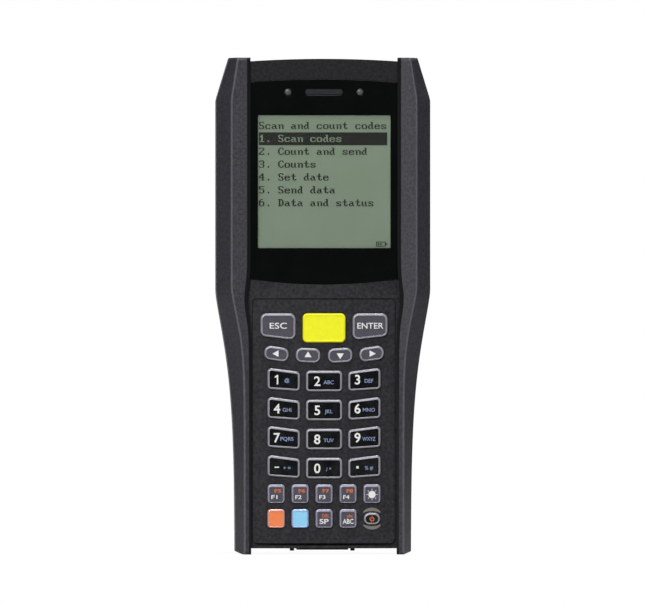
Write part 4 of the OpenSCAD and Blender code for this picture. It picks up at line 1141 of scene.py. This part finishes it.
def print_digit(bm, digit, x, base, y):
    """Digits in the built-in font; the figure one is drawn with a flag, minus and point at mid height."""
    if digit == "1":
        print_shape(bm, [(x - 0.05, base), (x + 0.45, base), (x + 0.45, base + 3.2), (x + 0.12, base + 3.2),
                         (x - 0.7, base + 2.65), (x - 0.7, base + 2.15), (x - 0.05, base + 2.5)], y, WHITE)
    elif digit == "minus":
        print_shape(bm, rectangle(x - 0.75, base + 1.2, x + 0.75, base + 1.6), y, WHITE)
    elif digit == "point":
        print_shape(bm, rectangle(x - 0.4, base + 0.95, x + 0.4, base + 1.75), y, WHITE)
    else:
        print_text(bm, digit, x, base, DIGIT_H, y, WHITE, 0.07)


def add_legend(node, bm):
    """A key's print rides on its key."""
    legend = from_bmesh(node + "_legend", bm, INK_WHITE, INK_BLUE, INK_ORANGE)
    seat(legend, node, NODE_SLOT[node])


def make_digit_keys():
    """Twelve keys with black faces: a white figure or sign and pale blue letters."""
    for digit, letters in DIGIT_LETTERS.items():
        node = "key_" + digit
        x, z, top = make_key_cap(node, KEY_SILVER, KEY_BLACK, "key_dark")
        bm = bmesh.new()
        print_digit(bm, digit, x - DIGIT_ASIDE, z - DIGIT_DROP, top)
        aside = 1.1 if x < -5 else 1.55     # the left column's letters stand closer to their digits
        if digit == "1":
            print_text(bm, letters, x + aside, z - 0.7, 1.15, top, BLUE, 0.03)
        else:
            width = 4.5 if len(letters) > 3 else None
            print_text(bm, letters, x + aside, z - 0.95, 1.25, top, BLUE, 0.02, width)
        add_legend(node, bm)


def make_control_keys():
    """Escape and enter keys with their words, and four arrow keys."""
    for node, text, width in (("key_escape", "ESC", 5.9), ("key_enter", "ENTER", 8.9)):
        x, z, top = make_key_cap(node, KEY_SILVER, KEY_SLATE, "key_grey")
        bm = bmesh.new()
        print_text(bm, text, x + 0.1, z - 0.65, 1.95, top, WHITE, 0.02, width)
        add_legend(node, bm)
    for node, turn in (("key_right", 0), ("key_up", 90), ("key_left", 180), ("key_down", 270)):
        x, z, top = make_key_cap(node, KEY_SILVER, KEY_SLATE, "key_grey", SMALL_RIM_W)
        bm = bmesh.new()
        unit = [around(0, 0, 1, turn + degrees) for degrees in (0, 120, 240)]
        arrow = [(x + 1.4 * across, z + 0.1 + 1.3 * up) for across, up in unit]
        print_shape(bm, arrow, top, WHITE)
        add_legend(node, bm)


def make_small_keys():
    """Small keys of the two lowest rows, and the plain yellow scan key."""
    for i in range(4):
        node = f"key_f{i + 1}"
        x, z, top = make_key_cap(node, KEY_COOL, KEY_SLATE, "key_grey", SMALL_RIM_W, SMALL_HIGHLIGHT_DROP)
        bm = bmesh.new()
        print_text(bm, f"F{i + 1}", x - 0.6, z - 1.5, 1.3, top, WHITE, 0.03, 2.1)
        print_text(bm, f"F{i + 5}", x + 0.6, z + 0.7, 1.15, top, ORANGE, 0.05, 2.3)
        add_legend(node, bm)
    for node, text, second in (("key_space", "SP", "DEL"), ("key_alpha", "ABC", "abc")):
        x, z, top = make_key_cap(node, KEY_COOL, KEY_SLATE, "key_grey", SMALL_RIM_W, SMALL_HIGHLIGHT_DROP)
        bm = bmesh.new()
        print_text(bm, text, x, z - 1.5, 1.6, top, WHITE, 0.04, 3.1 if text == "SP" else 3.7)
        print_text(bm, second, x + 0.6, z + 0.7, 1.05, top, ORANGE, 0.03)
        add_legend(node, bm)
    make_key_cap("key_orange", RIM_ORANGE, KEY_ORANGE, "key_orange", 0.6, 0.15)
    make_key_cap("key_blue", RIM_BLUE, KEY_BLUE, "key_blue", 0.6, 0.15)
    make_key_cap("key_scan", KEY_YELLOW, KEY_YELLOW, "key_yellow", 0.7, 0)
    make_light_key()
    make_power_key()


SUN_R, RAY_ROOT, RAY_TIP = 1.25, 1.5, 1.95


def make_light_key():
    """Backlight key: a white sun with short rays."""
    x, z, top = make_key_cap("key_light", KEY_COOL, KEY_SLATE, "key_grey", SMALL_RIM_W, SMALL_HIGHLIGHT_DROP)
    bm = bmesh.new()
    print_shape(bm, [around(x, z, SUN_R, degrees) for degrees in range(0, 360, 15)], top, WHITE)
    for k in range(8):
        turn = math.radians(45 * k)
        along, aside = Vector((math.cos(turn), math.sin(turn))), Vector((-math.sin(turn), math.cos(turn)))
        root, tip = Vector((x, z)) + along * RAY_ROOT, Vector((x, z)) + along * RAY_TIP
        ray = (root - aside * 0.12, tip - aside * 0.08, tip + aside * 0.08, root + aside * 0.12)
        print_shape(bm, [tuple(point) for point in ray], top, WHITE)
    add_legend("key_light", bm)


RING_R, RING_HOLE_R = 0.85, 0.5


def make_power_key():
    """Power key: a small black cap with an open orange ring and a bar, between two printed crescents."""
    x, z, top = make_key_cap("key_power", KEY_SILVER, KEY_BLACK, "key_grey", SMALL_RIM_W)
    bm = bmesh.new()
    sweep = range(130, 411, 14)
    for a, b in zip(sweep, sweep[1:]):
        corners = ((RING_R, a), (RING_R, b), (RING_HOLE_R, b), (RING_HOLE_R, a))
        print_shape(bm, [around(x, z, radius, degrees) for radius, degrees in corners], top, ORANGE)
    print_shape(bm, rectangle(x - 0.16, z, x + 0.16, z + 1.0), top, ORANGE)
    add_legend("key_power", bm)
    make_power_marks()


# ---- back ----


RIB_COUNT, RIB_PITCH, RIB_L, RIB_R = 6, 2.2, 24, 0.6


def make_cover():
    """Battery cover: a flat lid on a hinge barrel, with finger ribs near its lower edge."""
    cover = from_bmesh("battery_lid", node_copy("battery_cover"), CASING)
    seat(soften(cover, 0.3, 40, 2), "cover", "housing_plastic", "battery_cover")
    lowest = (0, GRIP_Y - 0.25, COVER_LO.z + 8)
    ribs = grow("lid_ribs", rib_tree(), point_mesh([lowest]), CASING, Count=RIB_COUNT, Pitch=RIB_PITCH * MM,
                Length=RIB_L * MM, Radius=RIB_R * MM)
    seat(ribs, "cover", "housing_plastic")


def make_lock():
    """Sliding lock under the cover's lower edge."""
    lock = from_bmesh("lid_lock", node_copy("battery_lock"), BLACK_PLASTIC)
    seat(soften(lock, 0.2, 40, 2), "lock", "black_plastic", "battery_lock")


def make_screws():
    """Case screws: pan heads with cross recesses, in the wells of the rear shell."""
    profile = [(0.02, HEAD_Y - 11.5), (0.8, HEAD_Y - 11), (1, HEAD_Y - 10.4), (1, HEAD_Y), (HEAD_R, HEAD_Y),
               (HEAD_R, HEAD_Y + 0.7), (HEAD_R - 0.15, HEAD_Y + 1.15), (HEAD_R - 0.6, HEAD_Y + 1.48),
               (0.6, HEAD_Y + 1.6)]
    bm = bmesh.new()
    turned(bm, 0, 0, profile, 15)
    screw = from_bmesh("screw", bm)
    for x, z in ((1.15, 0.24), (0.24, 1.15)):
        carve(screw, tool(block, (-x, HEAD_Y + 0.8, -z), (x, HEAD_Y + 3, z)))
    spots = point_mesh([(x, 0, z) for x, z in SCREW_SPOTS])
    screws = grow("case_screw_set", part_tree(), spots, STEEL, Part=screw)
    bpy.data.objects.remove(screw)
    seat(screws, "case", "steel", "case_screws")


# ---- studio ----

AIM = (-0.19, -12, 86.4)              # point that the picture's middle shows
DISTANCE = 5000
PICTURE_W = 221.2                     # width of the picture at the aim
TURN = -0.033                         # turn of the camera about the object, in radians
EVEN_LIGHT = 0.16                     # world's strength on matt faces
BACKDROP_EDGE = 0.93                  # cosine of the angle off straight behind where the white ends
ROOM_LIGHT = 0.04                     # world's strength in reflections beyond it
FLOOR_R = 0.5                         # metres, as the lamps' places are


def make_camera():
    """Camera far in front, so that the picture is nearly parallel."""
    data = bpy.data.cameras.new("camera")
    data.sensor_width = 36
    data.lens = data.sensor_width * DISTANCE / PICTURE_W
    camera = bpy.data.objects.new("camera", data)
    bpy.context.scene.collection.objects.link(camera)
    back = Vector((math.sin(TURN), -math.cos(TURN), 0)) * DISTANCE
    camera.location = (Vector(AIM) + back) * MM
    camera.rotation_euler = (math.pi / 2, 0, TURN)
    bpy.context.scene.camera = camera


def make_lamp(name, place, size, power):
    """Square soft lamp aimed at the middle of the object."""
    data = bpy.data.lights.new(name, "AREA")
    data.size = size
    data.energy = power
    lamp = bpy.data.objects.new(name, data)
    bpy.context.scene.collection.objects.link(lamp)
    lamp.location = place
    aim = Vector((0, 0, BODY_L / 2 * MM)) - lamp.location
    lamp.rotation_euler = aim.to_track_quat("-Z", "Y").to_euler()


def make_world():
    """White to the camera; in reflections white only straight behind the object and near black elsewhere;
    a low even light on matt faces."""
    world = bpy.data.worlds.new("studio")
    bpy.context.scene.world = world
    world.use_nodes = True
    tree = world.node_tree
    tree.nodes.clear()
    rays = add(tree, "ShaderNodeLightPath").outputs
    direction = add(tree, "ShaderNodeTexCoord").outputs["Generated"]
    depth = add(tree, "ShaderNodeSeparateXYZ", {"Vector": direction}).outputs["Y"]
    sweep = add(tree, "ShaderNodeMapRange", {"Value": depth, "From Min": BACKDROP_EDGE, "From Max": 1.0,
                "To Min": ROOM_LIGHT})
    seen = add(tree, "ShaderNodeMath", {0: rays["Is Camera Ray"], 1: rays["Is Transmission Ray"]},
               operation="MAXIMUM")
    mirrored = add(tree, "ShaderNodeMath", {0: rays["Is Glossy Ray"], 1: sweep.outputs["Result"]},
                   operation="MULTIPLY")
    plain = add(tree, "ShaderNodeMath", {0: EVEN_LIGHT, 1: rays["Is Diffuse Ray"]}, operation="MULTIPLY")
    lit = add(tree, "ShaderNodeMath", {0: mirrored.outputs[0], 1: plain.outputs[0]}, operation="MAXIMUM")
    strength = add(tree, "ShaderNodeMath", {0: seen.outputs[0], 1: lit.outputs[0]}, operation="MAXIMUM")
    light = add(tree, "ShaderNodeBackground", {"Color": (1, 1, 1, 1), "Strength": strength.outputs[0]})
    add(tree, "ShaderNodeOutputWorld", {"Surface": light.outputs[0]})


def make_floor():
    """Pale floor, near white to the camera and dimmer in reflections, that keeps a faint shadow."""
    bm = bmesh.new()
    bmesh.ops.create_circle(bm, cap_ends=True, segments=96, radius=FLOOR_R)
    material, tree, _ = new_surface("white_studio_floor")
    rays = add(tree, "ShaderNodeLightPath").outputs
    mirrored = add(tree, "ShaderNodeMath", {0: rays["Is Glossy Ray"], 1: 0.3}, operation="MULTIPLY")
    seen = add(tree, "ShaderNodeMath", {0: rays["Is Camera Ray"], 1: mirrored.outputs[0]},
               operation="MAXIMUM")
    also = add(tree, "ShaderNodeMath", {0: seen.outputs[0], 1: rays["Is Transmission Ray"]},
               operation="MAXIMUM")
    share = add(tree, "ShaderNodeMath", {0: also.outputs[0], 1: 0.8}, operation="MULTIPLY")
    matt = add(tree, "ShaderNodeBsdfDiffuse", {"Color": linear("#c4c4c4")})
    white = add(tree, "ShaderNodeEmission", {"Color": (1, 1, 1, 1), "Strength": 1.15})
    mixed = add(tree, "ShaderNodeMixShader", {0: share.outputs[0], 1: matt.outputs[0], 2: white.outputs[0]})
    add(tree, "ShaderNodeOutputMaterial", {"Surface": mixed.outputs[0]})
    from_bmesh("floor", bm, material)


make_camera()
finish_nodes()
make_rails()
make_front()
make_rear()
make_cap()
make_lens()
make_screen()
make_grille()
make_lamps()
make_digit_keys()
make_control_keys()
make_small_keys()
make_cover()
make_lock()
make_screws()
make_world()
make_floor()
make_lamp("front_softbox", (-0.35, -1.4, 0.65), 0.6, 14)
make_lamp("overhead_softbox", (0.15, -0.35, 1.5), 0.5, 15)
make_lamp("rear_softbox", (0.2, 1.2, 0.8), 0.7, 8)
bpy.context.scene.view_settings.view_transform = "Standard"
